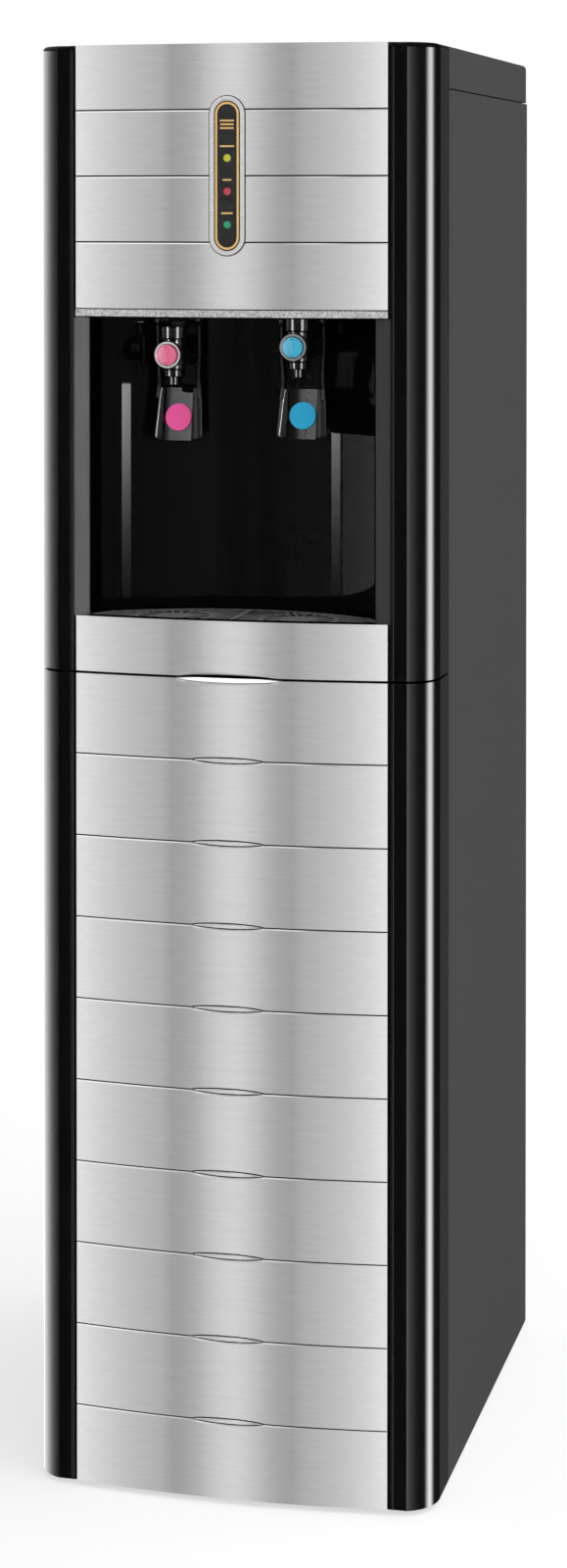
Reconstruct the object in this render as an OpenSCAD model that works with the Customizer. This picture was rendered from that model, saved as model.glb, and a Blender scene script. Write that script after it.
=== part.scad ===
// Floor-standing bottleless water cooler: painted steel cabinet, moulded gloss fronts with
// steel strip panels, a dispensing niche with two push-lever taps, and the water and cooling
// works inside. Origin: middle of the footprint at the floor. +Z up, the front faces -Y.

/* [Cabinet] */
// Width over the two corner columns
cab_w = 373; // [365:1:385]
// Height from the floor to the top
cab_h = 1320; // [1305:1:1350]
// Depth of the moulded front, from the steel's side edge to the side panels
front_d = 77.4; // [74:0.2:84]
// Depth of the side panels
side_d = 438.6; // [430:0.2:450]
// Gap between the panels and the floor
foot_h = 5; // [4:0.5:7]
// Height of the top cap
cap_h = 39.6; // [34:0.4:46]
// Thickness of the sheet steel
sheet_t = 1.2; // [1:0.1:1.5]
// Wall thickness of the moulded fronts and the cap
wall_t = 3; // [2.6:0.1:3.2]
// Height of the seam between the upper and the lower front
seam_z = 748.5; // [740:0.5:756]
// Width of that seam
seam_gap = 3; // [2:0.5:4]

/* [Corner columns] */
// Width of the flat strip beside the steel
strip_w = 17; // [15:0.5:19]
// Depth over which the column rounds to the side
round_d = 36; // [32:1:40]
// Angle at which the column leaves the crease
crease_a = 17; // [12:1:22]

/* [Steel front] */
// Width of the steel panels
steel_w = 290.5; // [286:0.5:293]
// How far the steel bows out at its middle
bow_h = 10; // [8:0.5:12]
// Thickness of the steel cladding
steel_t = 1.2; // [1:0.1:1.5]
// Number of strips on the lower panel
low_strips = 10; // [8:1:12]
// Number of strips on the upper panel
top_strips = 4; // [3:1:5]
// Height of the upper steel panel
top_steel_h = 239; // [232:1:246]
// Width of the groove between two strips
groove_w = 1.6; // [1:0.1:2]
// Depth of that groove
groove_d = 0.6; // [0.4:0.05:0.7]
// Length of the lens-shaped dimple on each lower groove
dimple_w = 67; // [55:1:80]
// Height of the dimple
dimple_h = 6; // [4:0.5:8]
// Length of the finger pull at the seam
pull_w = 98; // [90:1:110]
// Height of the finger pull
pull_h = 10; // [9:0.5:11]
// Height of the metal trim under the upper panel
trim_h = 7.5; // [6:0.5:9]
// How far the trim stands proud of the steel
trim_out = 1; // [0.5:0.1:1.1]

/* [Niche and tray] */
// Height of the steel strip in front of the drip tray
strip_h = 51.5; // [50:0.5:56]
// Depth of the splayed cheeks
cheek_d = 40; // [36:1:44]
// Half width of the niche where the cheeks end
cheek_x = 125; // [122:1:128]
// Depth of the niche at its middle
niche_d = 82; // [78:1:88]
// Wall of the niche liner
liner_t = 2.5; // [2:0.1:3]
// Height of the tray's deck above the seam
deck_up = 8; // [7.5:0.5:10]
// Wall of the drip tray
tray_t = 2; // [1.6:0.1:2.4]
// Thickness of the drip grille
grille_t = 3; // [2.5:0.1:3.5]
// Width of a bar between two slots of the grille
bar_w = 2.4; // [2:0.1:3]
// Radius of the plain drip target under each tap
target_r = 14; // [12:0.5:16]
// Slots around each drip target
slot_n = 40; // [28:4:44]

/* [Indicator window] */
// Width of the bezel
bezel_w = 32.5; // [30:0.5:36]
// Height of the bezel
bezel_h = 143.4; // [136:0.2:148]
// Height of the bezel's middle above the trim
bezel_up = 120; // [114:1:126]
// Width of the bezel's rim
bezel_rim = 4.5; // [4:0.1:5.2]
// How far the bezel stands proud of the steel
bezel_out = 1.2; // [1.2:0.1:2]
// Diameter of a lamp
lamp_d = 7; // [5:0.5:8]
// Distance between lamps
lamp_pitch = 30; // [26:1:32]

/* [Taps] */
// Distance between the two taps
tap_pitch = 117; // [112:1:122]
// Distance from the steel's side edge back to the spouts
spout_in = 22; // [20:0.5:25]
// Height of the cold knob under the trim
cold_knob_down = 26.5; // [25.5:0.5:28]
// Height of the hot knob under the trim
hot_knob_down = 34.5; // [32:0.5:36]
// Height of the lever pins under the trim
pin_down = 3.5; // [2.5:0.5:4.5]
// Length of the hot lever under its pin
hot_lever_l = 111; // [106:1:114]
// Length of the cold lever under its pin
cold_lever_l = 108; // [104:1:112]
// Width of a lever's paddle
paddle_w = 47.8; // [46:0.2:52]
// Diameter of the coloured pad on a lever
pad_d = 25.4; // [22:0.2:26]
// Diameter of the ring round a knob
ring_d = 24.5; // [23:0.5:27]
// Diameter of a knob's coloured face
knob_d = 18.8; // [17:0.2:20]
// Diameter of a tap's shank
shank_d = 18; // [16:0.5:19]
// Diameter of a spout's tip
tip_d = 11; // [10:0.2:13]
// Bore of a spout
spout_bore = 7.5; // [6:0.1:8.5]
// Diameter of the levers' pins
pin_d = 4; // [3:0.1:5]

/* [Tanks] */
// Diameter of the cold tank
cold_d = 160; // [150:1:166]
// Height of the cold tank
cold_h = 200; // [190:1:210]
// Thickness of the foam round the cold tank
foam_t = 20; // [17:0.5:22]
// How far the upper shelf is below the cold tap
shelf_down = 112; // [108:0.5:114]
// Distance between the two shelves
shelf_step = 202.5; // [200:0.5:210]
// Diameter of the hot tank
hot_d = 112; // [105:1:116]
// Height of the hot tank's straight wall
hot_h = 118; // [108:1:120]
// Thickness of the hot tank's jacket
jacket_t = 10; // [8:0.5:12]
// Outer diameter of the water tubes
tube_d = 9.5; // [8:0.5:10]

/* [Cooling works] */
// Diameter of the compressor's shell
comp_d = 140; // [130:1:146]
// Height of the compressor's shell
comp_h = 150; // [140:1:160]
// Diameter of the condenser's tube
cond_tube_d = 4.8; // [4:0.2:5.2]
// Passes of the condenser's tube
cond_n = 14; // [10:2:16]
// Distance between the passes
cond_pitch = 34; // [30:1:36]
// Wires on each side of the condenser
wire_n = 30; // [20:2:34]
// Diameter of a wire
wire_d = 1.5; // [1.2:0.1:1.8]
// Diameter of the evaporator's tube
evap_d = 6.35; // [5:0.05:7]
// Turns of the evaporator
evap_n = 9; // [6:1:12]

/* [Filters] */
// Number of filter cartridges
filter_n = 4; // [3:1:4]
// Diameter of a cartridge
filter_d = 62; // [56:1:66]
// Length of a cartridge's body
filter_l = 270; // [240:5:290]
// How far the filter head's underside is below the lower shelf
head_down = 122.5; // [110:0.5:140]

/* [Rear] */
// Height of the base pan's rear wall
pan_rear_h = 75; // [70:1:90]
// Lower edge of the rear cover above the floor
rear_z = 585; // [575:5:600]
// Outer diameter of the water supply tube
supply_d = 6.4; // [6:0.1:8]
// Diameter of the cord's entry
cord_d = 8; // [6:0.5:9]
// Width of a rocker switch
rocker_w = 13; // [11:0.5:15]
// Height of a rocker switch
rocker_h = 19; // [17:0.5:22]

/* [Fits] */
// Gap between pieces that are fixed side by side
gap = 0.4; // [0.3:0.05:0.5]
// Gap between a moving piece and its neighbours
run_gap = 0.8; // [0.6:0.05:1]
// Radial clearance of a running pin or shaft
fit = 0.05; // [0.02:0.01:0.08]

/* [Hidden] */
$fn = 48;

// Planes of the cabinet, front to back
y_front = -(bezel_out + bow_h + front_d + side_d) / 2;
y_apex = y_front + bezel_out;
y_edge = y_apex + bow_h;
y_side = y_edge + front_d;
y_back = -y_front;
y_strip = y_edge + steel_t;
in_x = cab_w / 2 - sheet_t;

// Heights of the front
cap_z = cab_h - cap_h;
up_z0 = seam_z + seam_gap / 2;
low_z1 = seam_z - seam_gap / 2;
niche_z0 = seam_z + strip_h;
trim_z1 = cab_h - top_steel_h;
trim_z0 = trim_z1 - trim_h;
deck_z = seam_z + deck_up + wall_t;
low_pitch = seam_z / low_strips;
top_pitch = top_steel_h / top_strips;
bezel_z = trim_z1 + bezel_up;

// Bow of the steel: radius of its outer face, and its centre
bow_r = (steel_w * steel_w / 4 + bow_h * bow_h) / (2 * bow_h);
bow_c = y_apex + bow_r;
round_fn = 720;

// Column section: arcs of an ellipse about (col_cx, col_cy)
crease_x = steel_w / 2 + gap + strip_w;
col_a = (cab_w / 2 - crease_x) / (1 - sin(crease_a));
col_b = (round_d - steel_t) / cos(crease_a);
col_cx = cab_w / 2 - col_a;
col_cy = y_edge + round_d;
col_steps = 18;
col_angles = [for (i = [0 : col_steps]) crease_a + (90 - crease_a) * i / col_steps];

// Niche plan: splayed cheeks, then an arc through their ends and the deepest point
niche_x = steel_w / 2 + gap;
cheek_y = y_edge + cheek_d;
arc_rise = niche_d - cheek_d;
niche_r = (cheek_x * cheek_x + arc_rise * arc_rise) / (2 * arc_rise);
niche_c = y_edge + niche_d - niche_r;

// Taps
spout_y = y_edge + spout_in;
tap_x = tap_pitch / 2;
hot_z = trim_z0 - hot_knob_down;
cold_z = trim_z0 - cold_knob_down;
pin_z = trim_z0 - pin_down;
pin_back = 18;
pin_y = spout_y + pin_back;
boss_r = shank_d / 2 + 7;
boss_y0 = niche_c + sqrt(niche_r * niche_r - tap_x * tap_x) - 5;
boss_y1 = niche_c + sqrt(pow(niche_r + liner_t, 2) - pow(tap_x - boss_r, 2)) + 1;
lamp_mid = -14;
board_y = y_apex + steel_t + wall_t + gap;
tray_front = steel_t + wall_t + run_gap;
tray_z0 = deck_z + 0.3;
grille_z0 = niche_z0 - grille_t;
clip_r = 3.6;
clip_x = in_x - 8;
clip_z0 = foot_h + 60;
clip_z1 = seam_z - 60;
stud_l = 13;
thread_l = 13;
barb_l = 12;
barb_y = boss_y1 + thread_l + barb_l;
barrel_r = 12;
bonnet_r = 14;

// Lever's shape, measured from its pin
knee_z = 58;
knee_y = 7.5;
foot_y = 2.3;
plate_top = 66;
scoop_x = pad_d / 2 + 0.4;
plate_t = 3;
arm_in = 17.2;
arm_w = 4.2;

// Tanks
shelf2_z = cold_z - shelf_down;
foam_gap = evap_d + 1.2;
foam_r0 = cold_d / 2 + foam_gap;
foam_r1 = foam_r0 + foam_t;
cold_y = 62;
foam_base = 25;
cold_z0 = shelf2_z + sheet_t + foam_base;
cold_z1 = cold_z0 + cold_h;
tank_wall = 1;
lid_t = 8;
lid_z = cold_z1;
float_r = 17;
float_arm_l = 62;
float_x = tap_x - 30;
float_y = cold_y - cold_d / 2 + 22;
float_z = lid_z - 24;
shelf1_z = shelf2_z - shelf_step;
head_z = shelf1_z - head_down;
hot_y = 40;
hot_z0 = shelf1_z + sheet_t + jacket_t;
dome_h = 16;
hot_top = hot_z0 + hot_h + 2 * dome_h;
fill_x = 30;

// Evaporator: turns spaced so that the cold outlet passes midway between two of them
evap_pitch = (cold_h - 40) / evap_n;
evap_r = cold_d / 2 + evap_d / 2 + 0.5;
evap_z0 = cold_z - (floor((cold_z - cold_z0 - 14) / evap_pitch - 0.5) + 0.5) * evap_pitch;
evap_open = 5;
suction_x = tap_x - evap_r * sin(evap_open);
suction_y = cold_y + foam_r1 + 12;

// Cooling works
pan_z = foot_h + 4;
comp_x = -30;
comp_y = 130;
comp_z0 = pan_z + sheet_t + 16;
grommet_x = 62;
grommet_y = 46;
stub_up = 92;
stub_x = 48;
cond_y = y_back - 16;
cond_w = 300;
cond_z0 = pan_rear_h + 28;
cond_r = cond_pitch / 2;
cond_top = cond_z0 + (cond_n - 1) * cond_pitch;
wire_off = cond_tube_d / 2 + wire_d / 2 + 0.15;
disch_x = comp_x - 40;
disch_y = comp_y + 62;
drier_x = -cond_w / 2;
drier_z = cond_top + 40;
capillary_d = 2.4;
capillary_in = 38;
capillary_y = cold_y + capillary_in;
capillary_z = evap_z0 + (evap_n - 1) * evap_pitch;
capillary_x = tap_x - sqrt(evap_r * evap_r - capillary_in * capillary_in) - evap_d / 2 - 1.2;

// Filters
filter_y = y_side + 56;
filter_pitch = filter_d + 10;
filter_z1 = head_z - 2;
neck_r = 19;
neck_h = 12;
head_h = 34;
head_d = 48;

// Rear fittings
fit_z = pan_z + 38;
fit_side = 57.3;
inlet_x = in_x - fit_side;
drain_x = -inlet_x;
drain_step = 42;
cord_x = inlet_x - 62;
wall_y = y_back - 2 * sheet_t;
valve_l = 62;
valve_y = y_back - 26 - valve_l;
tube_bend = 14;
switch_z = rear_z + 62;
switch_side = 59.3;
switch_step = 34;
switch_x = in_x - switch_side - switch_step;

steel_col = [0.74, 0.74, 0.75];
gloss_col = [0.07, 0.07, 0.08];
paint_col = [0.3, 0.3, 0.31];

// Outer points of the right-hand column, from the strip's inner edge to the side panel
function col_point(a, inset) = [
    col_cx + (col_a - inset) * sin(a),
    col_cy - (col_b - inset) * cos(a)];
function col_outline(inset, y_end) = concat(
    [[niche_x, y_strip + inset]],
    [for (a = col_angles) col_point(a, inset)],
    [[cab_w / 2 - inset, y_end]]);
function flipped(points) = [for (i = [len(points) - 1 : -1 : 0]) points[i]];
function mirrored(points) = [for (p = flipped(points)) [-p[0], p[1]]];

// A racetrack outline of width w and height h
function racetrack(w, h) = concat(
    [for (i = [0 : 24]) [w / 2 * cos(i * 7.5), (h - w) / 2 + w / 2 * sin(i * 7.5)]],
    [for (i = [0 : 24]) [-w / 2 * cos(i * 7.5), -(h - w) / 2 - w / 2 * sin(i * 7.5)]]);

// Shapes drawn in X and Z, made solid from y0 back to y1
module standing(y0, y1) {
    translate([0, y1, 0])
        rotate([90, 0, 0])
            linear_extrude(y1 - y0)
                children();
}

// Shapes drawn in Y and Z, made solid from x0 to x1
module sideways(x0, x1) {
    translate([x0, 0, 0])
        rotate([90, 0, 90])
            linear_extrude(x1 - x0)
                children();
}

// A rod along X or Y
module rod_x(r, x0, x1) {
    translate([x0, 0, 0])
        rotate([0, 90, 0])
            cylinder(r = r, h = x1 - x0);
}
module rod_y(r, y0, y1) {
    translate([0, y1, 0])
        rotate([90, 0, 0])
            cylinder(r = r, h = y1 - y0);
}

// Bowed wall: between out and in behind the steel's outer face, half_x wide each way
module bowed_2d(out, inner, half_x) {
    intersection() {
        difference() {
            translate([0, bow_c])
                circle(r = bow_r - out, $fn = round_fn);
            translate([0, bow_c])
                circle(r = bow_r - inner, $fn = round_fn);
        }
        translate([-half_x, y_apex - 5])
            square([2 * half_x, bow_h + 30]);
    }
}
module bowed(out, inner, half_x, z0, z1) {
    translate([0, 0, z0])
        linear_extrude(z1 - z0)
            bowed_2d(out, inner, half_x);
}

// Lens outline made of two arcs, w long and h high
module lens_2d(w, h) {
    r = (w * w + h * h) / (4 * h);
    intersection() {
        translate([0, h / 2 - r])
            circle(r = r, $fn = round_fn);
        translate([0, r - h / 2])
            circle(r = r, $fn = round_fn);
    }
}

// Filled plan of the niche, drawn in by c, from behind the front web to the arc
module niche_plan(c, front_in) {
    intersection() {
        union() {
            polygon([
                [-niche_x + c, y_edge],
                [niche_x - c, y_edge],
                [cheek_x - c, cheek_y],
                [-cheek_x + c, cheek_y]]);
            intersection() {
                translate([0, niche_c])
                    circle(r = niche_r - c, $fn = round_fn);
                translate([-cheek_x + c, cheek_y - 1])
                    square([2 * (cheek_x - c), niche_d]);
            }
        }
        translate([0, bow_c])
            circle(r = bow_r - front_in, $fn = round_fn);
    }
}

// Niche plan with its front bowed out to the web as well
module niche_plan_full(c, front_in) {
    niche_plan(c, front_in);
    intersection() {
        translate([0, bow_c])
            circle(r = bow_r - front_in, $fn = round_fn);
        translate([-niche_x + c, y_apex])
            square([2 * (niche_x - c), bow_h + 0.5]);
    }
}

// Hollow corner columns on both sides
module columns(z0, z1, y_end) {
    section = concat(col_outline(0, y_end), flipped(col_outline(wall_t, y_end)));
    translate([0, 0, z0])
        linear_extrude(z1 - z0) {
            polygon(section);
            mirror([1, 0])
                polygon(section);
        }
}

// Bend of a round bar about Z, from +X round towards +Y
module bend(r_mid, r_bar, angle = 90) {
    rotate_extrude(angle = angle)
        translate([r_mid, 0])
            circle(r = r_bar, $fn = 24);
}

// Quarter bend that starts at the origin along the axis a and leaves along the axis b
module corner(a, b, r_mid, r_bar) {
    turn = abs(a[2]) > 0.5
        ? [0, -90 * a[2], atan2(-b[0], b[1])]
        : [atan2(b[2], cross(a, b)[2]), 0, atan2(a[1], a[0])];
    rotate(turn)
        translate([0, r_mid, 0])
            rotate(-90)
                bend(r_mid, r_bar);
}

// Straight bar between two points that differ along one axis only
module bar(p, q, r_bar) {
    d = q - p;
    translate(p)
        rotate([d[1] == 0 ? 0 : (d[1] > 0 ? -90 : 90),
                d[0] == 0 ? (d[2] < 0 ? 180 : 0) : (d[0] > 0 ? 90 : -90), 0])
            cylinder(r = r_bar, h = norm(d), $fn = 24);
}

// Round bar laid through a list of points, square to the axes, with bends of r_mid at the corners
module route(p, r_bar, r_mid) {
    last = len(p) - 1;
    way = [for (i = [0 : last - 1]) (p[i + 1] - p[i]) / norm(p[i + 1] - p[i])];
    for (i = [0 : last - 1])
        if (norm(p[i + 1] - p[i]) > (i > 0 ? r_mid : 0) + (i < last - 1 ? r_mid : 0) + 0.01)
            bar(p[i] + (i > 0 ? r_mid : 0) * way[i], p[i + 1] - (i < last - 1 ? r_mid : 0) * way[i], r_bar);
    for (i = [1 : 1 : last - 1])
        translate(p[i] - r_mid * way[i - 1])
            corner(way[i - 1], way[i], r_mid, r_bar);
}

// Cabinet
module base_pan() {
    y0 = y_side + sheet_t + gap;
    depth = y_back - sheet_t - y0;
    color(paint_col)
        difference() {
            translate([-in_x + gap, y0, pan_z])
                cube([2 * (in_x - gap), depth, pan_rear_h - pan_z]);
            translate([-in_x + gap + sheet_t, y0 + sheet_t, pan_z + sheet_t])
                cube([2 * (in_x - gap - sheet_t), depth - 2 * sheet_t, pan_rear_h]);
            translate([-cab_w, y_side - 1, pan_z + 22])
                cube([2 * cab_w, y_back - y_side - sheet_t - 19, pan_rear_h]);
            for (x = [inlet_x, drain_x, drain_x + drain_step, cord_x])
                translate([x, 0, fit_z])
                    rod_y(8 + gap / 2, y_back - 10, y_back + 1);
            for (x = [-1, 1], y = [-1, 1])
                translate([comp_x + x * grommet_x, comp_y + y * grommet_y, pan_z - 1])
                    cylinder(r = 6 + fit, h = sheet_t + 2);
        }
}

module levelling_feet() {
    color([0.12, 0.12, 0.12])
        for (x = [-1, 1], y = [y_side + 45, y_back - 45])
            translate([x * (cab_w / 2 - 38), y, 0])
                rotate_extrude()
                    polygon([[0, 0], [15, 0], [16, 1.2], [16, foot_h - 1.5],
                             [9, foot_h], [9, pan_z], [0, pan_z]]);
}

module side_panel() {
    lip = 15;
    rear_lip = 20;
    x1 = cab_w / 2;
    translate([0, 0, foot_h])
        difference() {
            linear_extrude(cap_z - gap - foot_h)
                polygon([
                    [x1, y_side], [x1, y_back], [x1 - rear_lip, y_back], [x1 - rear_lip, y_back - sheet_t],
                    [x1 - sheet_t, y_back - sheet_t], [x1 - sheet_t, y_side + sheet_t],
                    [x1 - lip, y_side + sheet_t], [x1 - lip, y_side]]);
            for (z = [clip_z0, clip_z1])
                translate([clip_x, 0, z - foot_h])
                    rod_y(clip_r + 1.2, y_side - 1, y_side + 5);
        }
}
module side_panel_left() {
    color(paint_col)
        mirror([1, 0, 0])
            side_panel();
}
module side_panel_right() {
    color(paint_col)
        side_panel();
}

module rear_cover() {
    half = in_x - gap;
    louvre_w = 90;
    z1 = cap_z - gap;
    color(paint_col)
        difference() {
            translate([-half, wall_y, rear_z])
                cube([2 * half, sheet_t, z1 - rear_z]);
            for (x = [-1, 1], i = [0 : 7])
                translate([x * 70 - louvre_w / 2, y_back - 3 * sheet_t, z1 - 60 - i * 12])
                    cube([louvre_w, 3 * sheet_t, 3.4]);
            for (x = [0, switch_step])
                translate([switch_x + x - rocker_w / 2 - 2,
                           y_back - 3 * sheet_t, switch_z - rocker_h / 2 - 2])
                    cube([rocker_w + 4, 3 * sheet_t, rocker_h + 4]);
        }
}

module top_cover() {
    y0 = y_side;
    edge = 2.5;
    color(paint_col)
        difference() {
            hull() {
                translate([-cab_w / 2, y0, cap_z])
                    cube([cab_w, y_back - y0, cap_h - edge]);
                translate([-cab_w / 2 + edge, y0, cap_z])
                    cube([cab_w - 2 * edge, y_back - y0 - edge, cap_h]);
            }
            translate([-cab_w / 2 + wall_t, y0 + wall_t, cap_z - 1])
                cube([cab_w - 2 * wall_t, y_back - y0 - 2 * wall_t, cap_h - wall_t + 1]);
        }
}

// Flanged sheet shelf between the side panels
module shelf(z, y0, y1) {
    lip = 14;
    difference() {
        translate([-in_x, y0, z - lip])
            cube([2 * in_x, y1 - y0, lip + sheet_t]);
        translate([-in_x + sheet_t, y0 - 1, z - lip - 1])
            cube([2 * (in_x - sheet_t), y1 - y0 + 2, lip + 1]);
        children();
    }
}
module lower_shelf() {
    color([0.62, 0.63, 0.64])
        shelf(shelf1_z, y_side + sheet_t + gap, wall_y - gap) {
            for (p = [
                [float_x, filter_y], [tap_x, cold_y], [-tap_x, hot_y], [suction_x, suction_y],
                [drier_x, cond_y]])
                translate([p[0], p[1], shelf1_z - 20])
                    cylinder(r = 10, h = 30);
        }
}
module upper_shelf() {
    color([0.62, 0.63, 0.64])
        shelf(shelf2_z, y_side + sheet_t + gap + 40, wall_y - gap) {
            for (p = [
                [float_x, filter_y], [tap_x, cold_y], [tap_x - fill_x, hot_y], [-tap_x, hot_y],
                [suction_x, suction_y], [drier_x, cond_y]])
                translate([p[0], p[1], shelf2_z - 20])
                    cylinder(r = 10, h = 30);
        }
}

// Upper front
module upper_fascia() {
    web_out = steel_t;
    web_in = steel_t + wall_t;
    cheek_wall = 2.6;
    color(gloss_col)
        difference() {
            union() {
                columns(up_z0, cab_h, y_side - gap / 2);
                bowed(web_out, web_in, niche_x + 1, trim_z1, cab_h);
                bowed(web_out, web_in, niche_x + 1, up_z0, niche_z0 - 0.6);
                // top wall
                translate([0, 0, cab_h - wall_t])
                    linear_extrude(wall_t) {
                        polygon(concat(
                            col_outline(1, y_side - gap / 2), mirrored(col_outline(1, y_side - gap / 2))));
                        bowed_2d(web_out, bow_h + 2, niche_x + 1);
                    }
                // deck under the drip tray and the liner
                translate([0, 0, deck_z - wall_t])
                    linear_extrude(wall_t) {
                        niche_plan_full(0, web_out + 1);
                        intersection() {
                            translate([0, niche_c])
                                circle(r = niche_r + liner_t + 1, $fn = round_fn);
                            translate([-cheek_x - 1, cheek_y - 1])
                                square([2 * cheek_x + 2, niche_d]);
                        }
                    }
                // splayed cheeks
                for (m = [0, 1])
                    mirror([m, 0, 0])
                        translate([0, 0, deck_z - wall_t])
                            linear_extrude(trim_z1 - deck_z + wall_t)
                                polygon([
                                    [niche_x, y_strip],
                                    [niche_x + cheek_wall + 1, y_strip],
                                    [cheek_x + cheek_wall, cheek_y],
                                    [cheek_x, cheek_y]]);
            }
            standing(y_apex - 5, y_apex + 16)
                translate([0, seam_z])
                    lens_2d(pull_w, pull_h);
            standing(y_apex - 5, y_apex + 16)
                translate([0, bezel_z])
                    polygon(racetrack(bezel_w - 2 + gap, bezel_h - 2 + gap));
        }
}

module niche_liner() {
    z1 = trim_z1 + liner_t;
    half = cheek_x - gap;
    color(gloss_col)
        difference() {
            union() {
                translate([0, 0, deck_z + 0.2])
                    linear_extrude(z1 - deck_z - 0.2)
                        intersection() {
                            difference() {
                                translate([0, niche_c])
                                    circle(r = niche_r + liner_t, $fn = round_fn);
                                translate([0, niche_c])
                                    circle(r = niche_r, $fn = round_fn);
                            }
                            translate([-half, cheek_y])
                                square([2 * half, niche_d]);
                        }
                // ceiling over the taps
                translate([0, 0, trim_z1])
                    linear_extrude(liner_t) {
                        niche_plan(gap, steel_t + wall_t + gap);
                        intersection() {
                            translate([0, niche_c])
                                circle(r = niche_r + liner_t / 2, $fn = round_fn);
                            translate([-half, cheek_y])
                                square([2 * half, niche_d]);
                        }
                    }
                // round seats for the two taps
                for (t = [[-tap_x, hot_z], [tap_x, cold_z]])
                    translate([t[0], 0, t[1]])
                        rod_y(boss_r, boss_y0, boss_y1);
            }
            for (t = [[-tap_x, hot_z], [tap_x, cold_z]])
                translate([t[0], 0, t[1]])
                    rod_y(shank_d / 2 + 0.2, boss_y0 - 5, boss_y1 + 5);
        }
}

module upper_steel_panel() {
    color(steel_col)
        difference() {
            bowed(0, steel_t, steel_w / 2, trim_z1, cab_h);
            for (i = [1 : top_strips - 1])
                translate([0, 0, trim_z1 + i * top_pitch - groove_w / 2])
                    linear_extrude(groove_w)
                        bowed_2d(-2, groove_d, steel_w / 2 + 1);
            standing(y_apex - 5, y_apex + 16)
                translate([0, bezel_z])
                    polygon(racetrack(bezel_w - 2 + gap, bezel_h - 2 + gap));
        }
}

module canopy_trim() {
    color([0.8, 0.8, 0.81])
        translate([0, 0, trim_z0])
            linear_extrude(trim_h) {
                bowed_2d(-trim_out, steel_t, steel_w / 2 + gap / 2);
                intersection() {
                    bowed_2d(steel_t - 0.5, steel_t + wall_t + 4, steel_w / 2);
                    niche_plan_full(gap, 0);
                }
            }
}

module tray_front_strip() {
    color(steel_col)
        difference() {
            bowed(0, steel_t, steel_w / 2, up_z0, niche_z0);
            standing(y_apex - 5, y_apex + 16)
                translate([0, seam_z])
                    lens_2d(pull_w, pull_h);
        }
}

// Indicator window
module indicator_bezel() {
    open_w = bezel_w - 2 * bezel_rim;
    open_h = bezel_h - 2 * bezel_rim;
    body_l = steel_t + wall_t;
    color([0.82, 0.82, 0.83])
        translate([0, 0, bezel_z])
            difference() {
                union() {
                    standing(y_front, y_apex)
                        polygon(racetrack(bezel_w, bezel_h));
                    standing(y_apex - 0.1, y_apex + body_l)
                        polygon(racetrack(bezel_w - 2, bezel_h - 2));
                }
                standing(y_front - 1, y_front + 2.8)
                    polygon(racetrack(open_w, open_h));
                standing(y_front + 2, y_apex + body_l + 1)
                    polygon(racetrack(open_w - 3, open_h - 3));
            }
}
module indicator_plate() {
    color([0.05, 0.05, 0.05])
        translate([0, 0, bezel_z])
            difference() {
                standing(y_front + 0.3, y_front + 2.8)
                    polygon(racetrack(bezel_w - 2 * bezel_rim - gap, bezel_h - 2 * bezel_rim - gap));
                for (i = [-1 : 1])
                    translate([0, 0, lamp_mid + i * lamp_pitch])
                        rod_y(lamp_d / 2 + 0.1, y_front - 1, y_front + 5);
            }
}
// A lamp: a low domed lens on a straight body that stands on the board
module lamp(i) {
    bulge = 0.5;
    r = (lamp_d * lamp_d / 4 + bulge * bulge) / (2 * bulge);
    y0 = y_front + 0.6;
    translate([0, 0, bezel_z + lamp_mid + i * lamp_pitch])
        rotate([-90, 0, 0])
            translate([0, 0, y0 + bulge])
                rotate_extrude()
                    intersection() {
                        union() {
                            translate([0, r - bulge])
                                circle(r = r, $fn = round_fn);
                            translate([0, 0])
                                square([lamp_d, board_y - y0 - bulge]);
                        }
                        translate([0, -bulge])
                            square([lamp_d / 2, board_y - y0]);
                    }
}
module lamp_power() {
    color([0.84, 0.85, 0.23])
        lamp(1);
}
module lamp_hot() {
    color([0.88, 0.28, 0.28])
        lamp(0);
}
module lamp_cold() {
    color([0.18, 0.69, 0.45])
        lamp(-1);
}
module lamp_board() {
    color([0.1, 0.35, 0.2])
        translate([-bezel_w / 2 - 5, board_y, bezel_z - bezel_h / 2 - 5])
            cube([bezel_w + 10, 1.6, bezel_h + 10]);
}

// Drip tray and grille
module drip_tray() {
    ledge = 3;
    color(gloss_col)
        difference() {
            translate([0, 0, tray_z0])
                linear_extrude(niche_z0 + 1 - tray_z0)
                    niche_plan_full(run_gap, tray_front);
            translate([0, 0, tray_z0 + tray_t])
                linear_extrude(niche_z0)
                    niche_plan_full(run_gap + tray_t + ledge, tray_front + tray_t + ledge);
            translate([0, 0, grille_z0])
                linear_extrude(niche_z0)
                    niche_plan_full(run_gap + tray_t, tray_front + tray_t);
        }
}
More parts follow.
